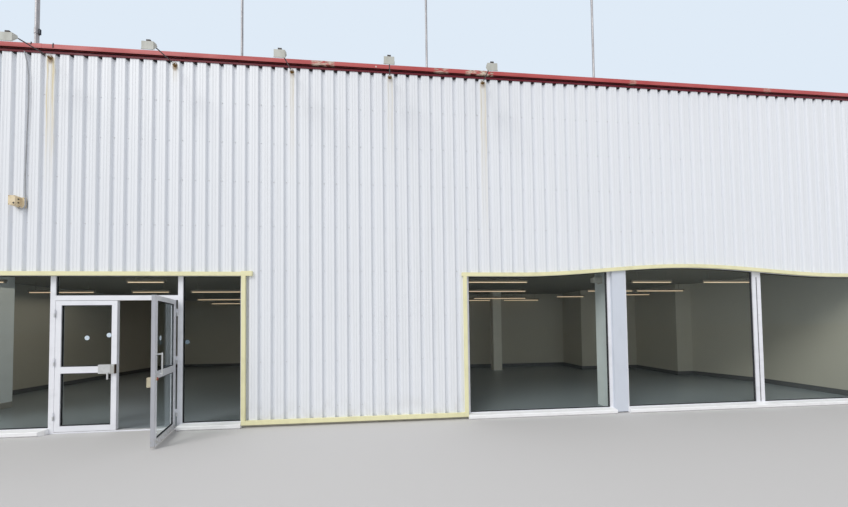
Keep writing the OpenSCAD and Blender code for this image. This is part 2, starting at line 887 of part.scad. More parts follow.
// Strip lights in four rows: distance from the left wall, distance from the front, length
strip_light_places = [
    [600, 1250, 1500], [4250, 1250, 720], [7300, 1250, 1500], [10980, 1250, 1500], [14930, 1250, 1000],
    [16700, 1250, 1300],
    [600, 3000, 1500], [2950, 3000, 900], [4350, 3000, 1500], [7900, 3000, 1500], [11450, 3000, 1750],
    [15000, 3000, 1400], [16500, 3000, 1500],
    [800, 5200, 1500], [3150, 5200, 1550], [7000, 5200, 1500], [12250, 5200, 1900], [15000, 4700, 1000],
    [16900, 4100, 1000],
    [2600, 6900, 1500], [6000, 6900, 1500], [11900, 6000, 1250], [13600, 6000, 1400]];
hanger_in = 150;
hanger_w = 8;
module strip_lights() {
    color("white") for (p = strip_light_places) strip_light(x_inner_l + p[0], y_front + p[1], p[2]);
}

// A light on two hangers from the ceiling
module strip_light(x, y, l) {
    z = ceiling_z - light_drop;
    union() {
        bar(x, y, z - light_h, l, light_w, light_h);
        for (xx = [x + hanger_in, x + l - hanger_in - hanger_w])
            bar(xx, y + (light_w - hanger_w) / 2, z - eps, hanger_w, hanger_w, light_drop + eps);
    }
}

// Lamps on arms in front of the coping: a flange on the crest, a boot round the arm, a knuckle on the housing, and
// a wedge of a housing whose bezel faces the cladding from below. The last two stand one rib closer than the
// others, as in the photo.
lamp_places = [lamp_first_rib, lamp_first_rib + lamp_ribs, lamp_first_rib + 2 * lamp_ribs,
    lamp_first_rib + 3 * lamp_ribs - 1, lamp_first_rib + 4 * lamp_ribs - 2];
lamp_z = wall_h - 130;
lamp_fall = 190;
arm_r = 9;
flange_r = 34;
flange_t = 8;
boot_r = 27;
boot_l = 62;
housing_d = 66;
housing_rise = 13;
housing_tail = 16;
bezel_t = 7;
bezel_over = 4;
knuckle = [56, 40, 40];
knuckle_in = 14;
slant = [housing_d, housing_h - housing_tail];
arm_run = lamp_reach - knuckle_in - knuckle[1] / 2;
arm_fall = lamp_fall - housing_h / 2 - knuckle[2] / 2;

// The housing with the middle of its outer face at the origin
module lamp_housing() {
    translate([-lamp_w / 2, 0, 0]) rotate([90, 0, 90]) linear_extrude(lamp_w)
        polygon([[0, -housing_h / 2], [housing_d, housing_h / 2 - housing_tail],
                 [housing_d, housing_h / 2 + housing_rise], [0, housing_h / 2]]);
    translate([0, 0, -housing_h / 2]) rotate([atan2(slant[1], slant[0]), 0, 0])
        translate([-lamp_w / 2 - bezel_over, -bezel_over, -bezel_t])
            cube([lamp_w + 2 * bezel_over, norm(slant) + 2 * bezel_over, bezel_t + 1]);
    translate([-knuckle[0] / 2, knuckle_in, housing_h / 2 - 2]) cube(knuckle);
}

module lamp() {
    union() {
        translate([0, 0, lamp_z]) rotate([90, 0, 0]) cylinder(r = flange_r, h = flange_t, $fn = 32);
        translate([0, 0, lamp_z]) rotate([90 + atan2(arm_fall, arm_run), 0, 0]) {
            translate([0, 0, flange_t + 2]) cylinder(r1 = boot_r, r2 = arm_r + 2, h = boot_l, $fn = 24);
            translate([0, 0, flange_t / 2]) cylinder(r = arm_r, h = norm([arm_run, arm_fall]) - flange_t / 2, $fn = 16);
        }
        translate([0, -lamp_reach, lamp_z - lamp_fall]) lamp_housing();
    }
}

module lamps() {
    color("darkkhaki") for (i = lamp_places)
        translate([x_left + groove_start + (i + 0.5) * rib_pitch, y_front, 0]) lamp();
}

// Masts behind the parapet on foot plates, the first one thicker and with a clamp for a stay
mast_gap = 20;
mast_y = y_inner + coping_in + first_mast_r + mast_gap;
mast_foot_w = 120;
mast_foot_t = 12;
clamp_z = 480;
clamp_h = 90;
clamp_out = 26;
module mast(r) {
    translate([0, mast_y, roof_z]) cylinder(r = r, h = parapet_h + mast_h, $fn = 20);
    translate([-mast_foot_w / 2, mast_y - mast_foot_w / 2, roof_z]) cube([mast_foot_w, mast_foot_w, mast_foot_t]);
}

module mast_clamp(r) {
    translate([0, mast_y, roof_z + parapet_h + clamp_z]) {
        cylinder(r = r + 5, h = clamp_h, $fn = 20);
        translate([0, -clamp_out / 2, 0]) cube([r + clamp_out, clamp_out, clamp_h]);
    }
}

module masts() {
    color("lightgray") {
        translate([x_left + mast_start, 0, 0]) union() {
            mast(first_mast_r);
            mast_clamp(first_mast_r);
        }
        for (i = [1:1:mast_count - 1])
            translate([x_left + mast_start + i * mast_pitch, 0, 0]) mast(mast_r);
    }
}

// Junction box on the cladding, with its lid, a mounting plate beside it and a gland under it for the cable
lid_t = 8;
lid_over = 3;
back_plate_w = 70;
back_plate_h = 162;
back_plate_t = 6;
gland_r = cable_r + 4;
gland_l = 18;
gland_in = 20;
cable_y = y_front - back_plate_t - gland_r;
module junction_box() {
    color("tan") translate([x_left + box_x, y_front, box_z]) union() {
        translate([-box_w / 2, -box_d, -box_h / 2]) cube([box_w, box_d, box_h]);
        translate([-box_w / 2 - lid_over, -box_d - lid_t, -box_h / 2 - lid_over])
            cube([box_w + 2 * lid_over, lid_t, box_h + 2 * lid_over]);
        translate([box_w / 2 - eps, -back_plate_t, box_h / 2 - back_plate_h])
            cube([back_plate_w, back_plate_t, back_plate_h]);
        translate([gland_in, cable_y - y_front, -box_h / 2 - gland_l])
            cylinder(r = gland_r, h = gland_l + 1, $fn = 24);
    }
}

// Route of the cable, in x and z from the middle of the box: out of the gland, round beside the plate, and up to
// the coping, where the heights are shares of the climb
cable_climb = wall_h - coping_leg - box_z;
cable_start = -box_h / 2 - gland_l;
cable_route = concat(
    [[gland_in, cable_start], [gland_in + 4, cable_start - 16], [48, cable_start - 24], [84, cable_start - 16],
     [108, cable_start + 6], [118, cable_start + 36]],
    [for (p = [[117, 0.02], [107, 0.15], [115, 0.34], [123, 0.51], [132, 0.67], [125, 0.84], [98, 0.93], [58, 1]])
        [p[0], p[1] * cable_climb]]);
module cable_joint(p) {
    translate([p[0], 0, p[1]]) sphere(r = cable_r, $fn = 12);
}

// Both ends are cut square, on the gland and under the strip of the coping
module junction_cable() {
    color("gray") translate([x_left + box_x, cable_y, box_z]) difference() {
        union() for (i = [0:len(cable_route) - 2]) hull() {
            cable_joint(cable_route[i]);
            cable_joint(cable_route[i + 1]);
        }
        translate([gland_in - 2 * cable_r, -2 * cable_r, cable_start]) cube(4 * cable_r);
        translate([cable_route[len(cable_route) - 1][0] - 3 * cable_r, -3 * cable_r, cable_climb])
            cube(6 * cable_r);
    }
}

floor_slab();
front_wall_left();
front_wall_over_entrance();
front_wall_centre();
front_wall_over_windows();
front_wall_right();
left_wall();
right_wall();
back_wall();
cladding_front_left();
cladding_over_entrance();
cladding_front_centre();
cladding_over_windows();
cladding_front_right();
cladding_left();
cladding_right();
cladding_back();
corner_angles();
roof_deck();
ceiling();
coping();
entrance_trim();
window_trim();
base_trim();
entrance_posts();
entrance_rails();
entrance_glass();
window_posts();
window_rails();
window_cover_post();
window_glass();
sills();
left_door_frame();
left_door_glass();
left_door_lock();
right_door_frame();
right_door_glass();
right_door_handle();
right_door_lock();
hinges();
columns();
inner_walls();
skirting();
strip_lights();
lamps();
masts();
junction_box();
junction_cable();
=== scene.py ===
"""Looks of the supermarket building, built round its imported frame: finishes, fixings, seals and fittings."""

import json
import math

import bmesh
import bpy
from mathutils import Matrix, Vector


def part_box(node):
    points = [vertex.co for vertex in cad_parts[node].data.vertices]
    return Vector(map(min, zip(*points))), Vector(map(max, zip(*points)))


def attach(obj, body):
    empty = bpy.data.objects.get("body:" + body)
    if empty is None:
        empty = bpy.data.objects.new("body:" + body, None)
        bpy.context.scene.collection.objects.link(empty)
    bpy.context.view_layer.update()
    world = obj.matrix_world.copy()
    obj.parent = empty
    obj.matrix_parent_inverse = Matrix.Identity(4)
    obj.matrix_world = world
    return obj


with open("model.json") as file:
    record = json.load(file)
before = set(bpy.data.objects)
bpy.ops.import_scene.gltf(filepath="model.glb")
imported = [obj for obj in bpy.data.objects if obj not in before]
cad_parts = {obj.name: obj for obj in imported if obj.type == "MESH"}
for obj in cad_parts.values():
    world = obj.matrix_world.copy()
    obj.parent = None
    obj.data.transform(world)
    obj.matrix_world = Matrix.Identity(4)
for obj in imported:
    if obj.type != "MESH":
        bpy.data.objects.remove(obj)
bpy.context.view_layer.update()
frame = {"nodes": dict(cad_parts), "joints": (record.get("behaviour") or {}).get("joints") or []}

# Places in the frame, in metres
FACE_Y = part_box("cladding_front_centre")[0].y
BACK_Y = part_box("cladding_back")[1].y
LEFT_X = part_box("cladding_left")[0].x
RIGHT_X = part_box("cladding_right")[1].x
LENGTH = RIGHT_X - LEFT_X
DEPTH = BACK_Y - FACE_Y
CLADDING_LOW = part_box("cladding_front_centre")[0].z
WALL_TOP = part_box("cladding_front_centre")[1].z
COPING_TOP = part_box("coping")[1].z
ENTRANCE_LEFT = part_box("cladding_over_entrance")[0].x
ENTRANCE_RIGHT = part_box("cladding_over_entrance")[1].x
WINDOWS_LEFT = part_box("cladding_over_windows")[0].x
WINDOWS_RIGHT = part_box("cladding_over_windows")[1].x
OPENING_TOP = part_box("cladding_over_entrance")[0].z
GLASS_FACE_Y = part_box("entrance_glass")[0].y
GLASS_BACK_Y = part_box("entrance_glass")[1].y
GLASS_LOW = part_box("window_glass")[0].z
COVER_LOW, COVER_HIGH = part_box("window_cover_post")
FRAME_FACE_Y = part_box("entrance_posts")[0].y
FRAME_BACK_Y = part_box("entrance_posts")[1].y
LIGHTS_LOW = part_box("strip_lights")[0].z
HALL_LEFT_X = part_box("ceiling")[0].x
ROOF_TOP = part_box("roof_deck")[1].z
BOX_LOW, BOX_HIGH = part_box("junction_box")
HINGES = [Vector(joint["pos_m"]) for joint in frame["joints"]]

# The sheet: grooves, crests and laps
RIB_PITCH = 0.207
RIB_DEPTH = 0.035
GROOVE_BOTTOM = 0.036
RIB_SLOPE = 0.020
FIRST_GROOVE = 0.074
SHEET_RIBS = 5
FIRST_LAP_RIB = 2
GROOVES_FRONT = int((LENGTH - 2 * FIRST_GROOVE) / RIB_PITCH) + 1
GROOVES_SIDE = int((DEPTH - 2 * FIRST_GROOVE) / RIB_PITCH) + 1
SCREW_ROWS = (0.30, 1.05, 1.80, 2.57, 3.32, 4.07, 4.73, 5.39)

# The coping, and the bow of the head over the shop windows
COPING_OUT = 0.040
COPING_FACE_LOW = COPING_TOP - 0.078
COPING_EDGE = 0.006
COPING_IN = -0.227
COPING_FALL = 0.010
BOW_START = 0.900
BOW_LENGTH = 6.600
BOW_RISE = 0.168

# The frames of the front and the panes between them
FRAME_W = 0.050
POST_W = 0.075
LEFT_PANE_W = 2.600
DOORWAY_W = 1.815
SIDE_PANE_W = 0.900
TRANSOM_TOP = 2.168
PANE_1_W = 2.600
COVER_SIDE_W = 0.060
PANE_2_W = 2.600
MULLION_W = 0.175
PANE_3_W = 2.400
LEFT_PANE_X = ENTRANCE_LEFT + FRAME_W
DOORWAY_X = LEFT_PANE_X + LEFT_PANE_W + POST_W
SIDE_PANE_X = DOORWAY_X + DOORWAY_W + POST_W
PANE_1_X = WINDOWS_LEFT + FRAME_W
PANE_2_X = COVER_HIGH.x + COVER_SIDE_W
PANE_3_X = PANE_2_X + PANE_2_W + MULLION_W
HEAD_LOW = OPENING_TOP - FRAME_W

# A door leaf in its own place: x from the hinge edge, y inwards from the outer face, z from its foot
LEAF_W = 0.897
LEAF_LOW = 0.028
STILE_W = 0.080
LEAF_GLASS_Y = 0.0185
LEAF_GLASS_T = 0.008
LEAF_LIGHTS = ((0.085, 0.910), (1.012, 1.986))
HINGE_IN = 0.003
HINGE_OUT = 0.012
OPEN_ANGLE = math.radians(110)
CYLINDER_Z = 0.912

# The lamps: the middle of each housing's outer face, and the height at which its arm leaves the cladding
LAMP_RIBS = (20, 29, 38, 46, 54)
LAMP_PLACES = [LEFT_X + FIRST_GROOVE + (rib + 0.5) * RIB_PITCH for rib in LAMP_RIBS]
LAMP_W = 0.164
HOUSING_H = 0.118
HOUSING_D = 0.066
HOUSING_TAIL = 0.016
LAMP_FACE_Y = FACE_Y - 0.560
LAMP_ROOT_Z = WALL_TOP - 0.130
LAMP_Z = LAMP_ROOT_Z - 0.190

# The masts
MAST_START = 3.820
MAST_PITCH = 3.280
MAST_CLAMP_LOW = 6.575
MAST_CLAMP_HIGH = 6.675
MAST_PLACES = [LEFT_X + MAST_START + number * MAST_PITCH for number in range(4)]
MAST_Y = (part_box("masts")[0].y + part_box("masts")[1].y) / 2

# The junction box, and the width of the strip lights
BOX_PART_W = 0.090
BOX_LID_H = 0.148
STRIP_W = 0.050

# The camera of the photograph
IMAGE_WIDTH = 848
IMAGE_HEIGHT = 507
CAMERA_PLACE = Vector((0.0369, -9.5639, 1.6128))
CAMERA_YAW = 0.0874424
CAMERA_PITCH = 0.0265346
CAMERA_ROLL = -0.0125411
FOCAL_PIXELS = 306.0
CENTRE_ROW = 318.0
SENSOR = 36.0


def camera_axes():
    """The camera's right, up and forward directions."""
    forward = Vector((math.sin(CAMERA_YAW) * math.cos(CAMERA_PITCH),
                      math.cos(CAMERA_YAW) * math.cos(CAMERA_PITCH), math.sin(CAMERA_PITCH)))
    level = Vector((math.cos(CAMERA_YAW), -math.sin(CAMERA_YAW), 0.0))
    upright = level.cross(forward)
    right = math.cos(CAMERA_ROLL) * level + math.sin(CAMERA_ROLL) * upright
    up = -math.sin(CAMERA_ROLL) * level + math.cos(CAMERA_ROLL) * upright
    return right, up, forward


def pixel_ray(column, row):
    """The direction in which the camera sees this pixel."""
    right, up, forward = camera_axes()
    return right * (column - IMAGE_WIDTH / 2) + up * (CENTRE_ROW - row) + forward * FOCAL_PIXELS


def on_front(column, row, y):
    """The point at depth y that the photograph shows at this pixel."""
    ray = pixel_ray(column, row)
    return CAMERA_PLACE + ray * ((y - CAMERA_PLACE.y) / ray.y)


def make_camera():
    """The camera at the photograph's viewing angle."""
    right, up, forward = camera_axes()
    lens = bpy.data.cameras.new("photo_camera")
    lens.sensor_width = SENSOR
    lens.lens = FOCAL_PIXELS * SENSOR / IMAGE_WIDTH
    lens.shift_y = (CENTRE_ROW - IMAGE_HEIGHT / 2) / IMAGE_WIDTH
    lens.clip_end = 600.0
    camera = bpy.data.objects.new("photo_camera", lens)
    turn = Matrix((right, up, -forward)).transposed().to_4x4()
    camera.matrix_world = Matrix.Translation(CAMERA_PLACE) @ turn
    bpy.context.scene.collection.objects.link(camera)
    bpy.context.scene.camera = camera


# Finishes
class Finish:
    """A material with one Principled shader, and short calls for the nodes that drive it."""

    def __init__(self, name, colour, roughness, metallic=0.0, specular=0.5):
        self.material = bpy.data.materials.new(name)
        self.material.use_nodes = True
        self.material.diffuse_color = (*colour, 1.0)
        self.tree = self.material.node_tree
        self.shader = self.tree.nodes["Principled BSDF"]
        self.shader.inputs["Base Color"].default_value = (*colour, 1.0)
        self.shader.inputs["Roughness"].default_value = roughness
        self.shader.inputs["Metallic"].default_value = metallic
        self.shader.inputs["Specular IOR Level"].default_value = specular
        self.place = self.add("ShaderNodeTexCoord").outputs["Object"]
        self.axes = self.add("ShaderNodeSeparateXYZ", Vector=self.place).outputs

    def add(self, kind, **sockets):
        """A node of this kind, with each named socket set to a value or joined to an output."""
        node = self.tree.nodes.new(kind)
        for name, value in sockets.items():
            self.join(value, node.inputs[name.replace("_", " ")])
        return node

    def join(self, value, socket):
        """Sets a socket to a value, or joins it to an output."""
        if isinstance(value, bpy.types.NodeSocket):
            self.tree.links.new(value, socket)
        elif isinstance(value, tuple) and socket.type == "RGBA":
            socket.default_value = (*value, 1.0)
        else:
            socket.default_value = value

    def math(self, operation, a, b=0.0):
        node = self.tree.nodes.new("ShaderNodeMath")
        node.operation = operation
        self.join(a, node.inputs[0])
        self.join(b, node.inputs[1])
        return node.outputs[0]

    def minus(self, a, b):
        return self.math("SUBTRACT", a, b)

    def off(self, value, centre):
        """How far value lies from centre, on either side."""
        return self.math("ABSOLUTE", self.minus(value, centre))

    def chain(self, operation, values):
        result = values[0]
        for value in values[1:]:
            result = self.math(operation, result, value)
        return result

    def product(self, *factors):
        return self.chain("MULTIPLY", factors)

    def largest(self, *values):
        return self.chain("MAXIMUM", values)

    def repeat(self, value, start, pitch):
        """How far value lies past the last multiple of pitch from start, as a share of pitch."""
        return self.math("FRACT", self.math("DIVIDE", self.minus(value, start), pitch))

    def noise(self, scale, stretch=(1.0, 1.0, 1.0), detail=3.0):
        """Noise from 0 to 1 with its grain stretched along the axes."""
        mapping = self.add("ShaderNodeMapping", Vector=self.place, Scale=stretch)
        node = self.add("ShaderNodeTexNoise", Vector=mapping.outputs[0], Scale=scale, Detail=detail)
        return node.outputs["Fac"]

    def ramp(self, value, low, high, to_low=0.0, to_high=1.0):
        """A smooth step of value between low and high."""
        node = self.add("ShaderNodeMapRange", Value=value)
        node.interpolation_type = "SMOOTHSTEP"
        for name, number in (("From Min", low), ("From Max", high), ("To Min", to_low), ("To Max", to_high)):
            node.inputs[name].default_value = number
        return node.outputs["Result"]

    def above(self, value, level, soft=0.002):
        """1 where value is over level."""
        return self.ramp(value, level - soft / 2, level + soft / 2)

    def below(self, value, level, soft=0.002):
        """1 where value is under level."""
        return self.ramp(value, level - soft / 2, level + soft / 2, 1.0, 0.0)

    def band(self, value, centre, half, soft):
        """1 within half of centre, fading out over soft."""
        return self.ramp(self.off(value, centre), half, half + soft, 1.0, 0.0)

    def spot(self, across, up, radius, soft):
        """1 round a point, from how far across and up each place lies from it."""
        squares = self.math("ADD", self.math("POWER", across, 2.0), self.math("POWER", up, 2.0))
        return self.ramp(self.math("SQRT", squares), radius, radius + soft, 1.0, 0.0)

    def blend(self, factor, a, b):
        """Colour a, or b where factor is 1."""
        node = self.tree.nodes.new("ShaderNodeMix")
        node.data_type = "RGBA"
        self.join(factor, node.inputs[0])
        self.join(a, node.inputs[6])
        self.join(b, node.inputs[7])
        return node.outputs[2]

    def tinted(self, base, mask, share, tint):
        """Colour base, turned by share towards the tint where mask is 1."""
        return self.blend(self.product(mask, share), base, tint)

    def colour(self, value):
        self.join(value, self.shader.inputs["Base Color"])

    def roughness(self, value):
        self.join(value, self.shader.inputs["Roughness"])

    def glow(self, colour, strength):
        self.shader.inputs["Emission Color"].default_value = (*colour, 1.0)
        self.shader.inputs["Emission Strength"].default_value = strength

    def bump(self, height, distance, strength=1.0):
        node = self.add("ShaderNodeBump", Height=height, Distance=distance, Strength=strength)
        self.join(node.outputs[0], self.shader.inputs["Normal"])

    def orange_peel(self):
        """The finely uneven surface of sprayed paint."""
        self.bump(self.noise(180.0, detail=1.0), 0.0006, 0.25)


def coated_sheet(name, along, start, face, stains=()):
    """White coated sheet: two shallow swages on each crest, dust and painted shade in the grooves and swages,
    and rust under the lamps.
    """
    white = (0.812, 0.834, 0.872)
    finish = Finish(name, white, 0.42, specular=0.4)
    run = finish.axes[along]
    height = finish.axes["Z"]
    streaks = finish.noise(1.0, (26.0, 26.0, 0.35), 4.0)
    patches = finish.noise(0.6, (1.0, 1.0, 0.5), 3.0)
    worn = finish.product(finish.ramp(streaks, 0.45, 0.75), finish.ramp(patches, 0.35, 0.7))
    base = finish.blend(worn, white, (0.735, 0.755, 0.785))
    mud = finish.ramp(finish.noise(7.0, (1.0, 1.0, 0.6)), 0.35, 0.75)
    splash = finish.product(finish.ramp(height, 0.60, 0.02), mud)
    base = finish.tinted(base, splash, 0.35, (0.55, 0.53, 0.49))
    drips = finish.ramp(finish.noise(1.0, (34.0, 34.0, 0.8), 2.0), 0.5, 0.8)
    under_coping = finish.product(finish.ramp(height, WALL_TOP - 0.45, WALL_TOP - 0.02), drips)
    base = finish.tinted(base, under_coping, 0.30, (0.52, 0.53, 0.52))
    if stains:
        base = rust_runs(finish, base, run, stains)
    share = finish.repeat(run, start, RIB_PITCH)
    swages = finish.largest(*[finish.band(share, middle, 0.010, 0.022) for middle in (0.40, 0.60)])
    depth = finish.off(finish.axes["Y" if along == "X" else "X"], face)
    in_groove = finish.above(depth, 0.014, 0.010)
    # Dust and painted shade darken the grooves and swages to a bluish grey.
    groove_dust_and_shade = finish.largest(finish.product(in_groove, 0.28), finish.product(swages, 0.16))
    finish.colour(finish.blend(groove_dust_and_shade, base, (0.61, 0.64, 0.69)))
    finish.bump(finish.product(swages, -1.0), 0.0035, 0.8)
    finish.roughness(finish.ramp(streaks, 0.2, 0.8, 0.36, 0.52))
    return finish.material


def rust_runs(finish, base, run, stains):
    """Yellow-brown runs below the lamps: a tint with darker edges, and a brown blot under each flange."""
    height = finish.axes["Z"]
    wander = finish.product(finish.minus(finish.noise(3.0), 0.5), 0.03)
    across = finish.math("ADD", run, wander)
    drop = finish.product(finish.minus(height, LAMP_ROOT_Z - 0.03), 0.55)
    grain = finish.ramp(finish.noise(1.0, (60.0, 60.0, 1.5)), 0.25, 0.7, 0.35, 1.0)
    under_lamp = finish.below(height, LAMP_ROOT_Z, 0.03)
    for place, width, length, strength, blot in stains:
        left = finish.band(across, place - width, 0.004, 0.016)
        right = finish.band(across, place + width * 1.15, 0.008, 0.020)
        middle = finish.product(finish.band(across, place, width, 0.03), 0.45)
        fall = finish.ramp(height, LAMP_ROOT_Z - length, LAMP_ROOT_Z - 0.05)
        streak = finish.product(finish.largest(left, right, middle), fall, grain, under_lamp)
        base = finish.tinted(base, streak, strength, (0.60, 0.48, 0.21))
        mark = finish.spot(finish.minus(across, place), drop, 0.018, 0.038)
        base = finish.tinted(base, mark, blot, (0.24, 0.13, 0.030))
    return base


def coping_paint(scuffs):
    """Faded red paint on the face with painted shade along its foot, dark red deepened by painted shade on the
    strip under it, and paint worn off by scuffs and a chip.

    The gap between face and strip is a nearly black painted shadow, on the underside of the face and the top
    of the strip.
    """
    faded = (0.505, 0.095, 0.090)
    finish = Finish("coping_paint", faded, 0.45, specular=0.3)
    run, height = finish.axes["X"], finish.axes["Z"]
    clouds = finish.noise(2.2, (1.0, 1.0, 2.5), 4.0)
    streaks = finish.noise(1.0, (2.0, 2.0, 90.0), 3.0)
    base = finish.blend(finish.ramp(clouds, 0.3, 0.75), faded, (0.425, 0.062, 0.062))
    base = finish.tinted(base, finish.ramp(streaks, 0.5, 0.8), 0.40, (0.58, 0.17, 0.155))
    # Painted shade on the lowest part of the face, over its drip edge.
    shaded_lower_face = finish.below(height, COPING_FACE_LOW + 0.018, 0.02)
    base = finish.tinted(base, shaded_lower_face, 0.35, (0.29, 0.035, 0.038))
    # The strip under the face: dark red, deepened by painted shade.
    base = finish.blend(finish.below(height, COPING_FACE_LOW - 0.002), base, (0.155, 0.012, 0.022))
    # Nearly black painted shadow on the underside of the face and the top of the strip.
    normal = finish.add("ShaderNodeNewGeometry").outputs["Normal"]
    upwards = finish.add("ShaderNodeSeparateXYZ", Vector=normal).outputs["Z"]
    shadowed_underside = finish.product(finish.below(upwards, -0.5, 0.02),
                               finish.above(height, COPING_FACE_LOW - 0.012))
    shadowed_strip_top = finish.product(finish.above(height, COPING_FACE_LOW - 0.019),
                               finish.below(height, COPING_FACE_LOW - 0.0005, 0.001))
    base = finish.blend(finish.largest(shadowed_underside, shadowed_strip_top), base, (0.010, 0.0015, 0.002))
    on_front_run = finish.below(finish.axes["Y"], FACE_Y + 0.25)
    on_face = finish.product(on_front_run, finish.above(height, COPING_FACE_LOW - 0.001))
    primer = finish.ramp(finish.noise(1.0, (9.0, 9.0, 40.0), 4.0), 0.42, 0.56)
    rust = finish.ramp(finish.noise(1.0, (14.0, 14.0, 60.0), 4.0), 0.54, 0.64)
    for place, half, strength in scuffs:
        scuffed = finish.product(finish.band(run, place, half, 0.05), on_face, strength)
        base = finish.tinted(base, scuffed, primer, (0.62, 0.52, 0.42))
        base = finish.tinted(base, scuffed, rust, (0.17, 0.060, 0.035))
    chip = on_front(376, 66.6, FACE_Y - COPING_OUT)
    chipped = finish.spot(finish.minus(run, chip.x), finish.minus(height, chip.z), 0.008, 0.010)
    finish.colour(finish.tinted(base, chipped, on_front_run, (0.70, 0.62, 0.55)))
    finish.roughness(finish.ramp(clouds, 0.2, 0.8, 0.38, 0.58))
    finish.bump(clouds, 0.004, 0.3)
    return finish.material


def painted_metal(name, colour, dirt, roughness, dirt_share, grain=4.0):
    """Paint, powder coat or plastic with soft clouds of dirt; grain is one number, or one for each axis."""
    finish = Finish(name, colour, roughness)
    stretch = grain if isinstance(grain, tuple) else (grain, grain, grain)
    clouds = finish.noise(1.0, stretch, 5.0)
    finish.colour(finish.tinted(colour, finish.ramp(clouds, 0.42, 0.78), dirt_share, dirt))
    finish.roughness(finish.ramp(clouds, 0.2, 0.8, roughness - 0.06, roughness + 0.12))
    finish.orange_peel()
    return finish.material


def brushed_metal(name, colour, grain, roughness=0.34, metallic=0.85):
    """Metal with fine brush lines and faint stains."""
    finish = Finish(name, colour, roughness, metallic)
    lines = finish.noise(1.0, grain, 2.0)
    stains = finish.ramp(finish.noise(9.0, detail=4.0), 0.4, 0.8)
    finish.colour(finish.tinted(colour, stains, 0.6, tuple(0.7 * c for c in colour)))
    finish.roughness(finish.ramp(lines, 0.3, 0.7, roughness - 0.08, roughness + 0.14))
    finish.bump(lines, 0.0005, 0.3)
    return finish.material


def rough_surface(name, colour, dark, scale, roughness, depth):
    """Plaster, foam, rubber, plastic or rust with a coarse and a fine grain."""
    finish = Finish(name, colour, roughness, specular=0.3)
    coarse = finish.noise(scale, detail=5.0)
    fine = finish.noise(scale * 22.0, detail=2.0)
    finish.colour(finish.tinted(colour, finish.ramp(coarse, 0.35, 0.72), 0.5, dark))
    finish.roughness(finish.ramp(fine, 0.3, 0.7, roughness - 0.08, min(1.0, roughness + 0.08)))
    finish.bump(fine, depth, 0.4)
    return finish.material


def column_plaster():
    """Pale plaster with painted cool daylight by the windows, and a brownish foot on the column behind the
    left pane.
    """
    pale = (0.90, 0.87, 0.77)
    finish = Finish("column_plaster", pale, 0.75, specular=0.3)
    coarse = finish.noise(2.0, detail=5.0)
    # Painted light: the plaster by the windows is made paler and bluer.
    painted_window_light = finish.below(finish.axes["Y"], FACE_Y + 3.2, 0.4)
    base = finish.blend(painted_window_light, pale, (0.93, 0.985, 1.0))
    base = finish.tinted(base, finish.ramp(coarse, 0.35, 0.72), 0.12, (0.40, 0.42, 0.42))
    low = finish.below(finish.axes["Z"], 0.14, 0.01)
    left_column = finish.below(finish.axes["X"], ENTRANCE_LEFT + 0.6)
    finish.colour(finish.tinted(base, finish.product(low, left_column), 0.8, (0.30, 0.27, 0.22)))
    finish.bump(finish.noise(44.0, detail=2.0), 0.0010, 0.4)
    return finish.material


def galvanised_tube():
    """Dull zinc with streaks, and a dark plastic clamp on the first mast."""
    zinc = (0.45, 0.43, 0.43)
    finish = Finish("galvanised_tube", zinc, 0.50, metallic=0.6)
    x, z = finish.axes["X"], finish.axes["Z"]
    streaks = finish.noise(1.0, (30.0, 30.0, 3.0), 4.0)
    spangle = finish.noise(60.0, detail=2.0)
    base = finish.blend(finish.ramp(streaks, 0.35, 0.75), zinc, (0.29, 0.275, 0.28))
    beside_mast = (finish.above(x, MAST_PLACES[0] + 0.029), finish.below(x, MAST_PLACES[0] + 0.2))
    clamp = finish.product(*beside_mast, finish.above(z, MAST_CLAMP_LOW), finish.below(z, MAST_CLAMP_HIGH))
    finish.colour(finish.blend(clamp, base, (0.030, 0.032, 0.040)))
    finish.roughness(finish.ramp(spangle, 0.3, 0.7, 0.40, 0.62))
    finish.bump(spangle, 0.0005, 0.3)
    return finish.material


def lamp_coat():
    """Grey-beige housings, dark knuckles and arms, pale boots and rusty flanges, told apart by place."""
    beige = (0.500, 0.505, 0.460)
    arm_start = LAMP_FACE_Y + 0.076
    boot_start, rust_start, flange_start = FACE_Y - 0.072, FACE_Y - 0.050, FACE_Y - 0.0095
    finish = Finish("lamp_coat", beige, 0.55)
    y, z = finish.axes["Y"], finish.axes["Z"]
    clouds = finish.noise(1.0, (12.0, 12.0, 4.0), 5.0)
    base = finish.tinted(beige, finish.ramp(clouds, 0.42, 0.78), 0.5, (0.37, 0.37, 0.32))
    rise = finish.product(finish.minus(y, LAMP_FACE_Y), 0.197)
    over_housing = finish.above(finish.minus(z, rise), LAMP_Z + HOUSING_H / 2 + 0.001)
    base = finish.blend(over_housing, base, (0.035, 0.022, 0.018))
    base = finish.blend(finish.above(y, arm_start), base, (0.075, 0.062, 0.060))
    base = finish.blend(finish.above(y, boot_start), base, (0.80, 0.80, 0.76))
    rusty_foot = finish.product(finish.above(y, rust_start), finish.below(z, LAMP_ROOT_Z - 0.006, 0.008))
    rusty = finish.largest(finish.above(y, flange_start), rusty_foot)
    finish.colour(finish.blend(rusty, base, (0.20, 0.110, 0.030)))
    finish.roughness(finish.ramp(clouds, 0.2, 0.8, 0.45, 0.70))
    finish.orange_peel()
    return finish.material


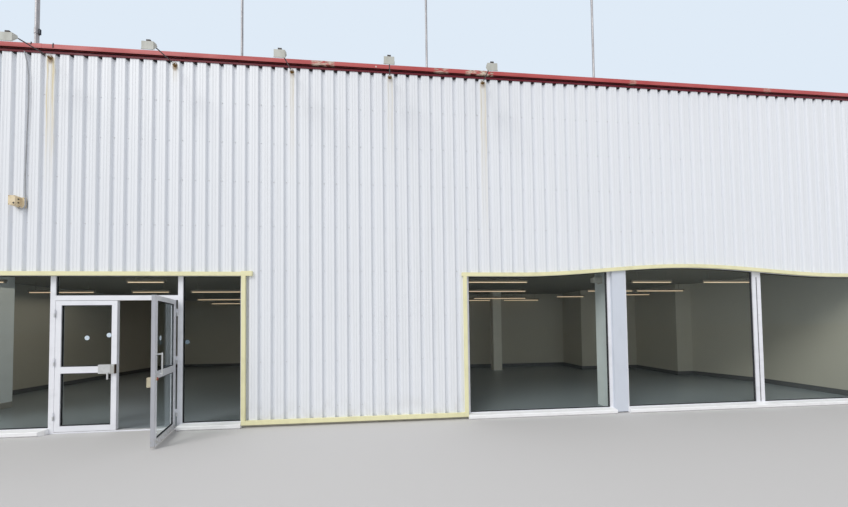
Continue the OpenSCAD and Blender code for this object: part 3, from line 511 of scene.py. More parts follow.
def open_leaf_paint():
    """The frames' paint, with painted shade on the meeting edge of the open leaf and stains along its foot."""
    white = (0.80, 0.81, 0.855)
    finish = Finish("open_leaf_paint", white, 0.34)
    outwards = Vector((-math.cos(OPEN_ANGLE), -math.sin(OPEN_ANGLE), 0.0))
    along_leaf = finish.add("ShaderNodeVectorMath", Vector=finish.place)
    along_leaf.operation = "DOT_PRODUCT"
    along_leaf.inputs[1].default_value = outwards
    reach = finish.minus(along_leaf.outputs["Value"], outwards.dot(HINGES[1]))
    clouds = finish.noise(1.0, (3.0, 3.0, 6.0), 5.0)
    base = finish.tinted(white, finish.ramp(clouds, 0.42, 0.78), 0.45, (0.55, 0.56, 0.60))
    # Painted shade on the meeting edge of the open leaf.
    shaded_meeting_edge = finish.above(reach, LEAF_W - HINGE_IN - 0.004, 0.003)
    base = finish.tinted(base, shaded_meeting_edge, 0.85, (0.40, 0.41, 0.445))
    foot = finish.below(finish.axes["Z"], 0.13, 0.10)
    stains = finish.product(foot, finish.ramp(finish.noise(26.0), 0.42, 0.62))
    finish.colour(finish.tinted(base, stains, 0.5, (0.40, 0.36, 0.30)))
    finish.roughness(finish.ramp(clouds, 0.2, 0.8, 0.28, 0.46))
    finish.orange_peel()
    return finish.material


def lock_metal():
    """Satin case of the lock on the closed leaf, darker towards its end over the meeting edge and nearly black
    at that end.
    """
    satin = (0.68, 0.68, 0.67)
    finish = Finish("lock_metal", satin, 0.36, metallic=0.7)
    run = finish.axes["X"]
    case_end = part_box("left_door_lock")[1].x
    clouds = finish.noise(14.0, detail=4.0)
    base = finish.tinted(satin, finish.ramp(clouds, 0.4, 0.8), 0.5, (0.50, 0.49, 0.46))
    base = finish.tinted(base, finish.above(run, case_end - 0.072), 0.8, (0.46, 0.45, 0.42))
    finish.colour(finish.blend(finish.above(run, case_end - 0.010), base, (0.11, 0.08, 0.06)))
    finish.roughness(finish.ramp(clouds, 0.2, 0.8, 0.30, 0.48))
    finish.bump(finish.noise(1.0, (30.0, 30.0, 400.0), 2.0), 0.0004, 0.3)
    return finish.material


def polished_floor():
    """Smooth sealed concrete with faint wide clouds and a dull even shine."""
    finish = Finish("polished_floor", (0.285, 0.325, 0.355), 0.28, specular=0.55)
    clouds = finish.noise(0.45, detail=2.0)
    finish.colour(finish.blend(clouds, (0.300, 0.341, 0.372), (0.230, 0.264, 0.293)))
    return finish.material


def ceiling_tiles():
    """Dark ceiling of plain tiles in a slim grid."""
    dark = (0.315, 0.295, 0.245)
    tile, grid_start = 0.6, 0.1
    finish = Finish("ceiling_tiles", dark, 0.85, specular=0.2)
    shares = [finish.repeat(finish.axes[axis], grid_start, tile) for axis in "XY"]
    grid = finish.largest(*[finish.band(share, 0.5, 0.014, 0.01) for share in shares])
    spots = finish.noise(60.0, detail=2.0)
    tiles = finish.blend(finish.ramp(spots, 0.5, 0.7), dark, (0.275, 0.255, 0.210))
    finish.colour(finish.blend(grid, tiles, (0.350, 0.330, 0.280)))
    finish.bump(finish.math("ADD", grid, finish.product(spots, 0.2)), 0.004, 0.5)
    return finish.material


def roof_membrane():
    """Grey roofing felt in metre-wide lengths with lapped seams and ponding marks."""
    grey = (0.27, 0.27, 0.265)
    finish = Finish("roof_membrane", grey, 0.85, specular=0.25)
    seam = finish.band(finish.repeat(finish.axes["X"], 0.0, 1.0), 0.5, 0.05, 0.006)
    ponds = finish.noise(0.45, detail=5.0)
    grit = finish.noise(240.0, detail=1.0)
    base = finish.blend(finish.ramp(ponds, 0.42, 0.62), grey, (0.20, 0.20, 0.195))
    base = finish.tinted(base, finish.ramp(grit, 0.45, 0.7), 0.4, (0.36, 0.36, 0.35))
    finish.colour(finish.tinted(base, seam, 0.35, (0.17, 0.17, 0.165)))
    finish.bump(finish.math("ADD", seam, finish.product(grit, 0.3)), 0.003, 0.6)
    return finish.material


def clear_glass():
    """Plain pane: see-through with a slight green tint, and a mirror share that grows at flat angles."""
    material = bpy.data.materials.new("clear_glass")
    material.use_nodes = True
    tree = material.node_tree
    tree.nodes.remove(tree.nodes["Principled BSDF"])
    facing = tree.nodes.new("ShaderNodeLayerWeight")
    facing.inputs["Blend"].default_value = 0.5
    steep = tree.nodes.new("ShaderNodeMath")
    steep.operation = "POWER"
    steep.inputs[1].default_value = 4.5
    share = tree.nodes.new("ShaderNodeMapRange")
    share.inputs["To Min"].default_value = 0.005
    share.inputs["To Max"].default_value = 0.50
    clear = tree.nodes.new("ShaderNodeBsdfTransparent")
    clear.inputs["Color"].default_value = (0.935, 0.950, 0.940, 1.0)
    mirror = tree.nodes.new("ShaderNodeBsdfGlossy")
    mirror.inputs["Color"].default_value = (0.86, 0.96, 1.0, 1.0)
    mirror.inputs["Roughness"].default_value = 0.02
    mix = tree.nodes.new("ShaderNodeMixShader")
    tree.links.new(facing.outputs["Facing"], steep.inputs[0])
    tree.links.new(steep.outputs[0], share.inputs["Value"])
    tree.links.new(share.outputs["Result"], mix.inputs[0])
    tree.links.new(clear.outputs[0], mix.inputs[1])
    tree.links.new(mirror.outputs[0], mix.inputs[2])
    tree.links.new(mix.outputs[0], tree.nodes["Material Output"].inputs["Surface"])
    return material


def lit_tube():
    """Glowing warm white tube."""
    warm = (0.85, 0.80, 0.70)
    finish = Finish("lit_tube", warm, 0.4)
    finish.colour(finish.blend(finish.noise(8.0, detail=2.0), warm, (0.80, 0.74, 0.62)))
    finish.glow((1.0, 0.73, 0.47), 0.68)
    return finish.material


# Shapes
def block(mesh, low, high, bevel=0.0):
    """A box between two corners, with its edges rounded off by bevel."""
    low, high = Vector(low), Vector(high)
    made = bmesh.ops.create_cube(mesh, size=1.0)["verts"]
    bmesh.ops.scale(mesh, vec=high - low, verts=made)
    bmesh.ops.translate(mesh, vec=(low + high) / 2, verts=made)
    if bevel:
        edges = list({e for v in made for e in v.link_edges})
        faces = bmesh.ops.bevel(mesh, geom=edges, offset=bevel, segments=2, affect="EDGES", profile=0.5,
                                material=-1)["faces"]
        made = list({v for face in faces for v in face.verts})
    return made


def rod(mesh, start, end, radius, sides):
    """A round bar between two points."""
    start, end = Vector(start), Vector(end)
    run = end - start
    turn = run.to_track_quat("Z", "Y").to_matrix().to_4x4()
    place = Matrix.Translation((start + end) / 2) @ turn
    made = bmesh.ops.create_cone(mesh, cap_ends=True, segments=sides, radius1=radius, radius2=radius,
                                 depth=run.length, matrix=place)
    return made["verts"]


def disc(mesh, start, end, radius, sides=24, edge=0.3):
    """A flat round piece between two points; its front rim slopes over a share, edge, of its height."""
    start, end = Vector(start), Vector(end)
    run = end - start
    made = rod(mesh, start, start + run * (1 - edge), radius, sides)
    caps = {face for vert in made for face in vert.link_faces if len(face.verts) == sides}
    for face in caps:
        face.normal_update()
    front = max(caps, key=lambda face: face.normal.dot(run))
    slope = run.length * edge
    bmesh.ops.inset_region(mesh, faces=[front], thickness=slope * 1.5, depth=slope)


def draw_out(mesh, faces, move):
    """Extrudes faces by a vector."""
    drawn = bmesh.ops.extrude_face_region(mesh, geom=faces)["geom"]
    new = [g for g in drawn if isinstance(g, bmesh.types.BMVert)]
    bmesh.ops.translate(mesh, vec=move, verts=new)


def bar_of_section(mesh, section, foot, along, out, length):
    """A bar of one section, given as points outwards and upwards, drawn out along a wall from foot."""
    verts = [mesh.verts.new(foot + out * o + Vector((0, 0, z))) for o, z in section]
    draw_out(mesh, [mesh.faces.new(verts)], along * length)


def ring(mesh, outline, depth, width, thick, right_shade_width=0.0):
    """A flat frame with mitred corners that stands out by thick from depth, from its outline in x and z.

    Its right member is wider than the others by right_shade_width, as painted shade of a deep rebate.
    """
    inner = mesh.faces.new([mesh.verts.new((x, depth, z)) for x, z in outline])
    inner.normal_update()
    rim = bmesh.ops.inset_region(mesh, faces=[inner], thickness=width, use_even_offset=True,
                                 use_boundary=True)["faces"]
    right_zone = max(x for x, _ in outline) - 1.5 * width
    for vert in inner.verts:
        if vert.co.x > right_zone:
            vert.co.x -= right_shade_width
    bmesh.ops.delete(mesh, geom=[inner], context="FACES_ONLY")
    draw_out(mesh, rim, Vector((0, -thick, 0)))


def copies(mesh, verts, moves):
    """Replaces one shape by copies of it, moved by each of the vectors."""
    faces = list({f for v in verts for f in v.link_faces})
    geometry = faces + list({e for f in faces for e in f.edges}) + list(verts)
    for move in moves:
        new = bmesh.ops.duplicate(mesh, geom=geometry)["geom"]
        bmesh.ops.translate(mesh, vec=move, verts=[g for g in new if isinstance(g, bmesh.types.BMVert)])
    bmesh.ops.delete(mesh, geom=list(verts), context="VERTS")


def piece(mesh, name, look, body="root", smooth=False):
    """Turns a bmesh into a piece with one look that rides on a body."""
    data = bpy.data.meshes.new(name)
    bmesh.ops.recalc_face_normals(mesh, faces=mesh.faces)
    for face in mesh.faces:
        face.smooth = smooth
    mesh.to_mesh(data)
    mesh.free()
    data.materials.append(LOOKS[look])
    made = bpy.data.objects.new(name, data)
    bpy.context.scene.collection.objects.link(made)
    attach(made, body)


# Runs of cladding seen from outside: start corner, direction along the wall, direction out of it, grooves
SIDES = {
    "front": (Vector((LEFT_X, FACE_Y, 0)), Vector((1, 0, 0)), Vector((0, -1, 0)), GROOVES_FRONT),
    "right": (Vector((RIGHT_X, FACE_Y, 0)), Vector((0, 1, 0)), Vector((1, 0, 0)), GROOVES_SIDE),
    "back": (Vector((RIGHT_X, BACK_Y, 0)), Vector((-1, 0, 0)), Vector((0, 1, 0)), GROOVES_FRONT),
    "left": (Vector((LEFT_X, BACK_Y, 0)), Vector((0, -1, 0)), Vector((-1, 0, 0)), GROOVES_SIDE),
}


def head_rise(x):
    """How far the head over the shop windows rises above its ends."""
    share = (x - WINDOWS_LEFT - BOW_START) / BOW_LENGTH
    if not 0.0 < share < 1.0:
        return 0.0
    return BOW_RISE * (1 - math.cos(2 * math.pi * share)) / 2


def lowest_cladding(side, run):
    """Lower edge of the cladding at a distance along a side."""
    x = LEFT_X + run
    if side == "front" and ENTRANCE_LEFT < x < ENTRANCE_RIGHT:
        return OPENING_TOP
    if side == "front" and WINDOWS_LEFT < x < WINDOWS_RIGHT:
        return OPENING_TOP + head_rise(x)
    return CLADDING_LOW


def groove_places(side):
    """The grooves of a side: number, distance along the wall, and middle on the face at height 0."""
    corner, along, _, count = SIDES[side]
    for number in range(count):
        run = FIRST_GROOVE + number * RIB_PITCH
        yield number, run, corner + along * run


def sheet_screws(side):
    """Hexagon screws with washers in the grooves, in level rows."""
    washer_r, washer_t, head_r, head_t, clear_of_edge = 0.0105, 0.003, 0.0070, 0.006, 0.06
    out = SIDES[side][2]
    mesh = bmesh.new()
    seat = -out * RIB_DEPTH
    washer_top = seat + out * washer_t
    verts = rod(mesh, seat, washer_top, washer_r, 10)
    verts += rod(mesh, washer_top, washer_top + out * head_t, head_r, 6)
    moves = [foot + Vector((0, 0, height)) for _, run, foot in groove_places(side) for height in SCREW_ROWS
             if height > lowest_cladding(side, run) + clear_of_edge]
    copies(mesh, verts, moves)
    return mesh


def sheet_laps(side):
    """The edge of each overlapping sheet: a thin strip beside every fifth groove."""
    width, thick, foot_gap, under_coping = 0.026, 0.0022, 0.002, 0.07
    past_groove = GROOVE_BOTTOM / 2 + RIB_SLOPE
    _, along, out, _ = SIDES[side]
    mesh = bmesh.new()
    for number, run, foot in groove_places(side):
        if number % SHEET_RIBS != FIRST_LAP_RIB:
            continue
        low = max(lowest_cladding(side, run), lowest_cladding(side, run + past_groove + width)) + foot_gap
        near = foot + along * past_groove
        far = near + along * width + out * thick
        corners = [Vector((f(near.x, far.x), f(near.y, far.y), 0)) for f in (min, max)]
        block(mesh, corners[0] + Vector((0, 0, low)), corners[1] + Vector((0, 0, WALL_TOP - under_coping)))
    return mesh


def groove_closures(side):
    """Foam blocks that close the grooves under the coping strip."""
    top, drop, back = WALL_TOP - 0.069, 0.012, 0.006
    width = GROOVE_BOTTOM + RIB_SLOPE
    _, along, out, _ = SIDES[side]
    mesh = bmesh.new()
    verts = block(mesh, (-0.5, -0.5, -0.5), (0.5, 0.5, 0.5))
    size = Vector([abs(a) * width + abs(o) * (RIB_DEPTH - back) for a, o in zip(along, out)])
    size.z = drop
    bmesh.ops.scale(mesh, vec=size, verts=verts)
    for vert in verts:
        if vert.co @ out < 0:
            vert.co -= along * (vert.co @ along) * (RIB_SLOPE / width)
    middle = -out * (RIB_DEPTH + back) / 2 + Vector((0, 0, top - drop / 2))
    copies(mesh, verts, [foot + middle for _, _, foot in groove_places(side)])
    return mesh


# The coping: straps over its joints and clips on its edge
def coping_cover(reach_in, low, thick):
    """Section that lies on the face and the top of the coping, as points outwards and upwards."""
    edge_out = COPING_OUT - COPING_EDGE
    face_out = COPING_OUT + thick
    top_in = COPING_TOP - COPING_FALL * (edge_out - reach_in) / (edge_out - COPING_IN)
    return [(COPING_OUT, low), (face_out, low), (face_out, COPING_TOP - COPING_EDGE + thick / 2),
            (edge_out + thick / 2, COPING_TOP + thick), (reach_in, top_in + thick), (reach_in, top_in),
            (edge_out, COPING_TOP), (COPING_OUT, COPING_TOP - COPING_EDGE)]


JOINT_PIXELS = ((323, 62), (441, 71), (479.6, 72.5), (633, 81), (767, 89))
FRONT_JOINTS = [on_front(*pixel, FACE_Y - COPING_OUT).x for pixel in JOINT_PIXELS]


def coping_straps():
    """Thin straps over the joints of the coping, about three metres apart where none are seen."""
    width, thick, pitch = 0.050, 0.0014, 3.0
    runs_left_of_view = [1.2, 4.2]
    mesh = bmesh.new()
    section = coping_cover(COPING_IN + 0.001, COPING_FACE_LOW - 0.001, thick)
    for side, (corner, along, out, _) in SIDES.items():
        if side == "front":
            runs = [x - LEFT_X for x in FRONT_JOINTS] + runs_left_of_view
        else:
            span = LENGTH if side == "back" else DEPTH
            count = round(span / pitch)
            runs = [span * number / count for number in range(1, count)]
        for run in runs:
            bar_of_section(mesh, section, corner + along * (run - width / 2), along, out, width)
    return mesh


def coping_clips():
    """Two small dark clips hooked over the edge of the coping, between the first two lamps."""
    width, thick, reach_in = 0.014, 0.004, -0.03
    mesh = bmesh.new()
    _, along, out, _ = SIDES["front"]
    for column, row, low in ((31, 42, COPING_TOP - 0.028), (53, 45.5, COPING_TOP - 0.062)):
        x = on_front(column, row, FACE_Y - COPING_OUT).x
        section = coping_cover(reach_in, low, thick)
        bar_of_section(mesh, section, Vector((x - width / 2, FACE_Y, 0)), along, out, width)
        edge = Vector((x, FACE_Y - COPING_OUT, COPING_TOP))
        block(mesh, edge - Vector((0.004, 0.002, 0)), edge + Vector((0.004, 0.010, 0.016)), 0.0015)
    return mesh


# The fixed panes: left edge, width, foot, whether the head is bowed, extra width of the outer right seal as
# painted shade of the rebate
PANES = ((LEFT_PANE_X, LEFT_PANE_W, GLASS_LOW, False, 0.0), (DOORWAY_X, DOORWAY_W, TRANSOM_TOP, False, 0.0),
         (SIDE_PANE_X, SIDE_PANE_W, GLASS_LOW, False, 0.0), (PANE_1_X, PANE_1_W, GLASS_LOW, True, 0.020),
         (PANE_2_X, PANE_2_W, GLASS_LOW, True, 0.024), (PANE_3_X, PANE_3_W, GLASS_LOW, True, 0.0))


def pane_outline(left, right, low, bowed):
    """Outline of a pane in x and z; the head of a bowed one follows the rise."""
    if not bowed:
        return [(left, low), (right, low), (right, HEAD_LOW), (left, HEAD_LOW)]
    step = 0.18
    count = max(2, round((right - left) / step))
    head = [right + (left - right) * number / count for number in range(count + 1)]
    return [(left, low), (right, low)] + [(x, HEAD_LOW + head_rise(x)) for x in head]


def pane_seals():
    """Rubber seals on both faces of each fixed pane; the outer right seals of two panes are widened as painted
    shade of the rebate.
    """
    width, thick = 0.012, 0.006
    mesh = bmesh.new()
    for left, pane_w, low, bowed, rebate_shade_w in PANES:
        outline = pane_outline(left, left + pane_w, low, bowed)
        # The outer right seal is widened by painted shade of the rebate.
        ring(mesh, outline, GLASS_FACE_Y, width, thick, rebate_shade_w)
        ring(mesh, outline, GLASS_BACK_Y + thick, width, thick)
    return mesh


def mullion_joint():
    """Dark strip in the set-back joint between the two members of the mullion, as painted shade of the joint.
    """
    half_w, front, back = 0.0105, 0.006, 0.0138
    middle = PANE_2_X + PANE_2_W + MULLION_W / 2
    mesh = bmesh.new()
    block(mesh, (middle - half_w, FRAME_FACE_Y + front, GLASS_LOW),
          (middle + half_w, FRAME_FACE_Y + back, HEAD_LOW - 0.001), 0.002)
    return mesh


# Door leaves
def leaf_place(side):
    """The matrix that takes a point of a leaf, drawn from its hinge edge, to where the leaf is at rest."""
    if side == "left":
        return Matrix.Translation((HINGES[0].x + HINGE_IN, HINGES[0].y + HINGE_OUT, LEAF_LOW))
    closed = Matrix.Translation((-HINGE_IN, HINGE_OUT, LEAF_LOW)) @ Matrix.Scale(-1, 4, (1, 0, 0))
    return Matrix.Translation((HINGES[1].x, HINGES[1].y, 0)) @ Matrix.Rotation(OPEN_ANGLE, 4, "Z") @ closed


def placed_on_leaf(mesh, side):
    """The mesh, drawn in a leaf's own place, taken to where that leaf is at rest."""
    bmesh.ops.transform(mesh, matrix=leaf_place(side), verts=mesh.verts)
    return mesh


def on_leaf(side, column, row, y):
    """The point of a leaf, in its own place, that the photograph shows at this pixel at depth y."""
    back = leaf_place(side).inverted()
    eye = back @ CAMERA_PLACE
    ray = back.to_3x3() @ pixel_ray(column, row)
    return eye + ray * ((y - eye.y) / ray.y)


def leaf_rings(side, depths, width, thick):
    """Frames round the two lights of a leaf, which stand out by thick from each of the depths."""
    mesh = bmesh.new()
    for low, high in LEAF_LIGHTS:
        outline = [(STILE_W, low), (LEAF_W - STILE_W, low), (LEAF_W - STILE_W, high), (STILE_W, high)]
        for depth in depths:
            ring(mesh, outline, depth, width, thick)
    return placed_on_leaf(mesh, side)


def dot(mesh, centre):
    """A round safety sticker on the outer face of a pane."""
    thick, radius, sides = 0.0012, 0.036, 32
    disc(mesh, centre, centre - Vector((0, thick, 0)), radius, sides)


def leaf_dots(side, pixels):
    """Safety stickers on the upper light of a leaf."""
    mesh = bmesh.new()
    for column, row in pixels:
        dot(mesh, on_leaf(side, column, row, LEAF_GLASS_Y))
    return placed_on_leaf(mesh, side)


def side_pane_dot():
    """Safety sticker near the left edge of the pane beside the door."""
    mesh = bmesh.new()
    centre = on_front(187.4, 342, GLASS_FACE_Y)
    centre.x = max(centre.x, SIDE_PANE_X + 0.06)
    dot(mesh, centre)
    return mesh


def cylinder_cap():
    """Dull red cover on the lock cylinder of the open leaf."""
    mesh = bmesh.new()
    seat = Vector((LEAF_W - STILE_W / 2, -0.014, CYLINDER_Z))
    disc(mesh, seat, seat - Vector((0, 0.006, 0)), 0.0215)
    return placed_on_leaf(mesh, "right")


def cylinder_slot():
    """Keyway in the cover of the lock cylinder of the open leaf."""
    mesh = bmesh.new()
    centre = Vector((LEAF_W - STILE_W / 2, -0.0202, CYLINDER_Z))
    block(mesh, centre - Vector((0.0012, 0.0006, 0.005)), centre + Vector((0.0012, 0.0004, 0.005)), 0.0003)
    return placed_on_leaf(mesh, "right")


def lock_screws():
    """Pan-head screws on the lock case of the closed leaf."""
    head_r, head_t, sides, rounding = 0.006, 0.003, 14, 0.5
    mesh = bmesh.new()
    for from_edge, y in ((0.235, -0.026), (0.090, -0.026), (0.036, -0.032)):
        x = LEAF_W - from_edge
        for z in (0.915, 1.020):
            disc(mesh, (x, y, z), (x, y - head_t, z), head_r, sides, rounding)
    return placed_on_leaf(mesh, "left")


def threshold():
    """Ribbed aluminium tread on the doorway rail, low enough for the leaves to pass over."""
    rail_top, plate_t, end_gap, ribs, rib_w, rib_pitch = 0.020, 0.0012, 0.001, 9, 0.0035, 0.007
    top = LEAF_LOW - 0.0055
    left, right = DOORWAY_X + end_gap, DOORWAY_X + DOORWAY_W - end_gap
    mesh = bmesh.new()
    block(mesh, (left, FRAME_FACE_Y + 0.001, rail_top), (right, FRAME_BACK_Y + 0.018, rail_top + plate_t))
    for number in range(ribs):
        y = FRAME_FACE_Y + 0.004 + number * rib_pitch
        block(mesh, (left, y, rail_top + 0.001), (right, y + rib_w, top), 0.0003)
    return mesh


# Lamps and masts
BEZEL_ANGLE = math.atan2(HOUSING_H - HOUSING_TAIL, HOUSING_D)
BEZEL_LENGTH = math.hypot(HOUSING_H - HOUSING_TAIL, HOUSING_D)


def bezel_place(lamp_x):
    """The matrix that takes a point of a lamp's bezel, drawn from its lower front edge, to its place."""
    lower_edge = Matrix.Translation((lamp_x, LAMP_FACE_Y, LAMP_Z - HOUSING_H / 2))
    return lower_edge @ Matrix.Rotation(BEZEL_ANGLE, 4, "X")


def lamp_lenses():
    """Pressed glass in each bezel, facing the cladding."""
    margin, front, back, rounding = 0.008, -0.0095, -0.0068, 0.001
    half_w = LAMP_W / 2 - margin
    mesh = bmesh.new()
    for x in LAMP_PLACES:
        made = block(mesh, (-half_w, margin, front), (half_w, BEZEL_LENGTH - margin, back), rounding)
        bmesh.ops.transform(mesh, matrix=bezel_place(x), verts=made)
    return mesh


def lamp_fixings():
    """Screws of the bezels, the clamp bolt through each knuckle and two bolts in each flange."""
    screw_in, screw_r, clamp_half, clamp_r, flange_half, flange_r = 0.020, 0.004, 0.034, 0.006, 0.025, 0.0055
    mesh = bmesh.new()
    for x in LAMP_PLACES:
        screws = []
        for side in (-1, 1):
            screw_x = side * (LAMP_W / 2 - screw_in)
            for y in (0.002, BEZEL_LENGTH - 0.002):
                screws += rod(mesh, (screw_x, y, -0.0070), (screw_x, y, -0.0100), screw_r, 8)
        bmesh.ops.transform(mesh, matrix=bezel_place(x), verts=screws)
        knuckle = Vector((x, LAMP_FACE_Y + 0.034, LAMP_Z + HOUSING_H / 2 + 0.020))
        rod(mesh, knuckle - Vector((clamp_half, 0, 0)), knuckle + Vector((clamp_half, 0, 0)), clamp_r, 6)
        for side in (-1, 1):
            seat = Vector((x + side * flange_half, FACE_Y - 0.008, LAMP_ROOT_Z + 0.010))
            rod(mesh, seat, seat - Vector((0, 0.006, 0)), flange_r, 6)
    return mesh


def mast_bolts():
    """Anchor bolts with washers and nuts on the foot plates of the masts."""
    plate_t, bolt_off = 0.012, 0.045
    stack = ((0.000, 0.002, 0.011, 14), (0.002, 0.009, 0.008, 6), (0.009, 0.018, 0.005, 8))
    mesh = bmesh.new()
    for x in MAST_PLACES:
        for dx in (-bolt_off, bolt_off):
            for dy in (-bolt_off, bolt_off):
                foot = Vector((x + dx, MAST_Y + dy, ROOF_TOP + plate_t))
                for low, high, radius, sides in stack:
                    rod(mesh, foot + Vector((0, 0, low)), foot + Vector((0, 0, high)), radius, sides)
    return mesh


# The junction box
def box_knockouts():
    """Dark membrane entries on the lid and the right side of the box."""
    mesh = bmesh.new()
    box_left = BOX_LOW.x + 0.003
    middle_x = box_left + BOX_PART_W / 2
    seen = on_front(15.8, 202.7, BOX_LOW.y)
    x = min(max(seen.x, middle_x - 0.03), middle_x + 0.03)
    z = min(max(seen.z, BOX_HIGH.z - 0.12), BOX_HIGH.z - 0.03)
    disc(mesh, (x, BOX_LOW.y, z), (x, BOX_LOW.y - 0.003, z), 0.013, 20)
    side_x = box_left + BOX_PART_W
    for drop in (0.045, 0.100):
        y, z = FACE_Y - 0.040, BOX_HIGH.z - drop
        disc(mesh, (side_x, y, z), (side_x + 0.003, y, z), 0.011, 20)
    return mesh


def box_screws():
    """Lid screws, and the screws of the mounting plate beside the box."""
    mesh = bmesh.new()
    for x in (BOX_LOW.x + 0.011, BOX_LOW.x + 0.085):
        for z in (BOX_HIGH.z - 0.011, BOX_HIGH.z - BOX_LID_H + 0.011):
            disc(mesh, (x, BOX_LOW.y, z), (x, BOX_LOW.y - 0.002, z), 0.005, 12, 0.5)
    plate_x, plate_y = BOX_HIGH.x - 0.022, FACE_Y - 0.006
    for z in (BOX_HIGH.z - 0.022, BOX_LOW.z + 0.030):
        disc(mesh, (plate_x, plate_y, z), (plate_x, plate_y - 0.003, z), 0.006, 12, 0.5)
    return mesh


# Strip lights as they stand in the frame: from the hall's left wall, from the front's face, and length
STRIP_LIGHTS = (
    (0.600, 1.250, 1.500), (4.250, 1.250, 0.720), (7.300, 1.250, 1.500), (10.980, 1.250, 1.500),
    (14.930, 1.250, 1.000), (16.700, 1.250, 1.300), (0.600, 3.000, 1.500), (2.950, 3.000, 0.900),
    (4.350, 3.000, 1.500), (7.900, 3.000, 1.500), (11.450, 3.000, 1.750), (15.000, 3.000, 1.400),
    (16.500, 3.000, 1.500), (0.800, 5.200, 1.500), (3.150, 5.200, 1.550), (7.000, 5.200, 1.500),
    (12.250, 5.200, 1.900), (15.000, 4.700, 1.000), (16.900, 4.100, 1.000), (2.600, 6.900, 1.500),
    (6.000, 6.900, 1.500), (11.900, 6.000, 1.250), (13.600, 6.000, 1.400))


def strip_runs():
    """Each strip light's left end, right end and middle depth."""
    for from_left, from_front, length in STRIP_LIGHTS:
        left = HALL_LEFT_X + from_left
        yield left, left + length, FACE_Y + from_front + STRIP_W / 2


def light_tubes():
    """One tube under each strip light, between its holders."""
    end_gap, tube_r, z = 0.022, 0.010, LIGHTS_LOW - 0.015
    mesh = bmesh.new()
    for left, right, y in strip_runs():
        rod(mesh, (left + end_gap, y, z), (right - end_gap, y, z), tube_r, 12)
    return mesh


def tube_holders():
    """Lamp holders at both ends of each tube."""
    half_w, length, low, high = 0.016, 0.024, LIGHTS_LOW - 0.032, LIGHTS_LOW + 0.001
    mesh = bmesh.new()
    for left, right, y in strip_runs():
        for x in (left + 0.002, right - 0.002 - length):
            block(mesh, (x, y - half_w, low), (x + length, y + half_w, high), 0.003)
    return mesh


def column_box():
    """Small pale casing with a cover and a wall plate, on the left face of the front column."""
    column_x = COVER_LOW.x + 0.050
    y = FACE_Y + 0.400
    mesh = bmesh.new()
    for far, near, front, back, low, high, rounding in ((0.170, 0.0, -0.055, 0.055, 2.420, 2.520, 0.010),
                                                        (0.150, 0.020, -0.060, -0.054, 2.436, 2.504, 0.002),
                                                        (0.012, 0.0, -0.070, 0.070, 2.400, 2.540, 0.003)):
        block(mesh, (column_x - far, y + front, low), (column_x - near, y + back, high), rounding)
    return mesh


def trim_sleeve():
    """Raised sleeve over the right end of the entrance head trim."""
    length, proud, drop, rise = 0.170, 0.002, 0.052, 0.014
    low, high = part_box("entrance_trim")
    mesh = bmesh.new()
    block(mesh, (high.x - length, low.y - proud, high.z - drop),
          (high.x + proud, FACE_Y - 0.001, high.z + rise), 0.003)
    return mesh


# The studio
def add_floor():
    """Plain pale floor, just under the foot of the building."""
    reach, below_ground = 260.0, 0.002
    mesh = bmesh.new()
    bmesh.ops.create_grid(mesh, x_segments=1, y_segments=1, size=reach)
    bmesh.ops.translate(mesh, vec=(0, 0, -below_ground), verts=mesh.verts)
    data = bpy.data.meshes.new("studio_floor")
    mesh.to_mesh(data)
    mesh.free()
    data.materials.append(Finish("studio_floor", (0.56, 0.55, 0.545), 0.9, specular=0.1).material)
    floor = bpy.data.objects.new("studio_floor", data)
    bpy.context.scene.collection.objects.link(floor)


def add_hall_light(name, low, high, power):
    """Warm area light under the ceiling of the hall, between two corners, which isn't seen itself."""
    area = bpy.data.lights.new(name, "AREA")
    area.shape = "RECTANGLE"
    area.size = high[0] - low[0]
    area.size_y = high[1] - low[1]
    area.energy = power
    area.color = (1.0, 0.93, 0.80)
    lamp = bpy.data.objects.new(name, area)
    lamp.location = ((low[0] + high[0]) / 2, (low[1] + high[1]) / 2, LIGHTS_LOW - 0.05)
    lamp.visible_camera = False
    lamp.visible_glossy = False
    lamp.visible_transmission = False
    bpy.context.scene.collection.objects.link(lamp)


def add_soft_light():
    """Soft light from all sides, and a pale blue background for the camera and the glass."""
    world = bpy.data.worlds.new("studio")
    bpy.context.scene.world = world
    world.use_nodes = True
    tree = world.node_tree
    tree.nodes.clear()
    mix = tree.nodes.new("ShaderNodeMixShader")
    for number, colour, strength in ((1, (0.95, 0.97, 1.0, 1.0), 0.83), (2, (0.74, 0.83, 0.93, 1.0), 1.0)):
        background = tree.nodes.new("ShaderNodeBackground")
        background.inputs["Color"].default_value = colour
        background.inputs["Strength"].default_value = strength
        tree.links.new(background.outputs[0], mix.inputs[number])
    path = tree.nodes.new("ShaderNodeLightPath")
    seen = path.outputs["Is Camera Ray"]
    for ray in ("Is Glossy Ray", "Is Transmission Ray"):
        either = tree.nodes.new("ShaderNodeMath")
        either.operation = "MAXIMUM"
        tree.links.new(seen, either.inputs[0])
        tree.links.new(path.outputs[ray], either.inputs[1])
        seen = either.outputs[0]
    tree.links.new(seen, mix.inputs[0])
    tree.links.new(mix.outputs[0], tree.nodes.new("ShaderNodeOutputWorld").inputs["Surface"])


def add_sun():
    """A broad soft sun from the upper left."""
    sun = bpy.data.lights.new("soft_sun", "SUN")
    sun.energy = 1.50
    sun.angle = math.radians(30)
    sun.color = (1.0, 0.985, 0.96)
    lamp = bpy.data.objects.new("soft_sun", sun)
    lamp.rotation_euler = Vector((0.53, 0.61, -0.75)).to_track_quat("-Z", "Y").to_euler()
    bpy.context.scene.collection.objects.link(lamp)


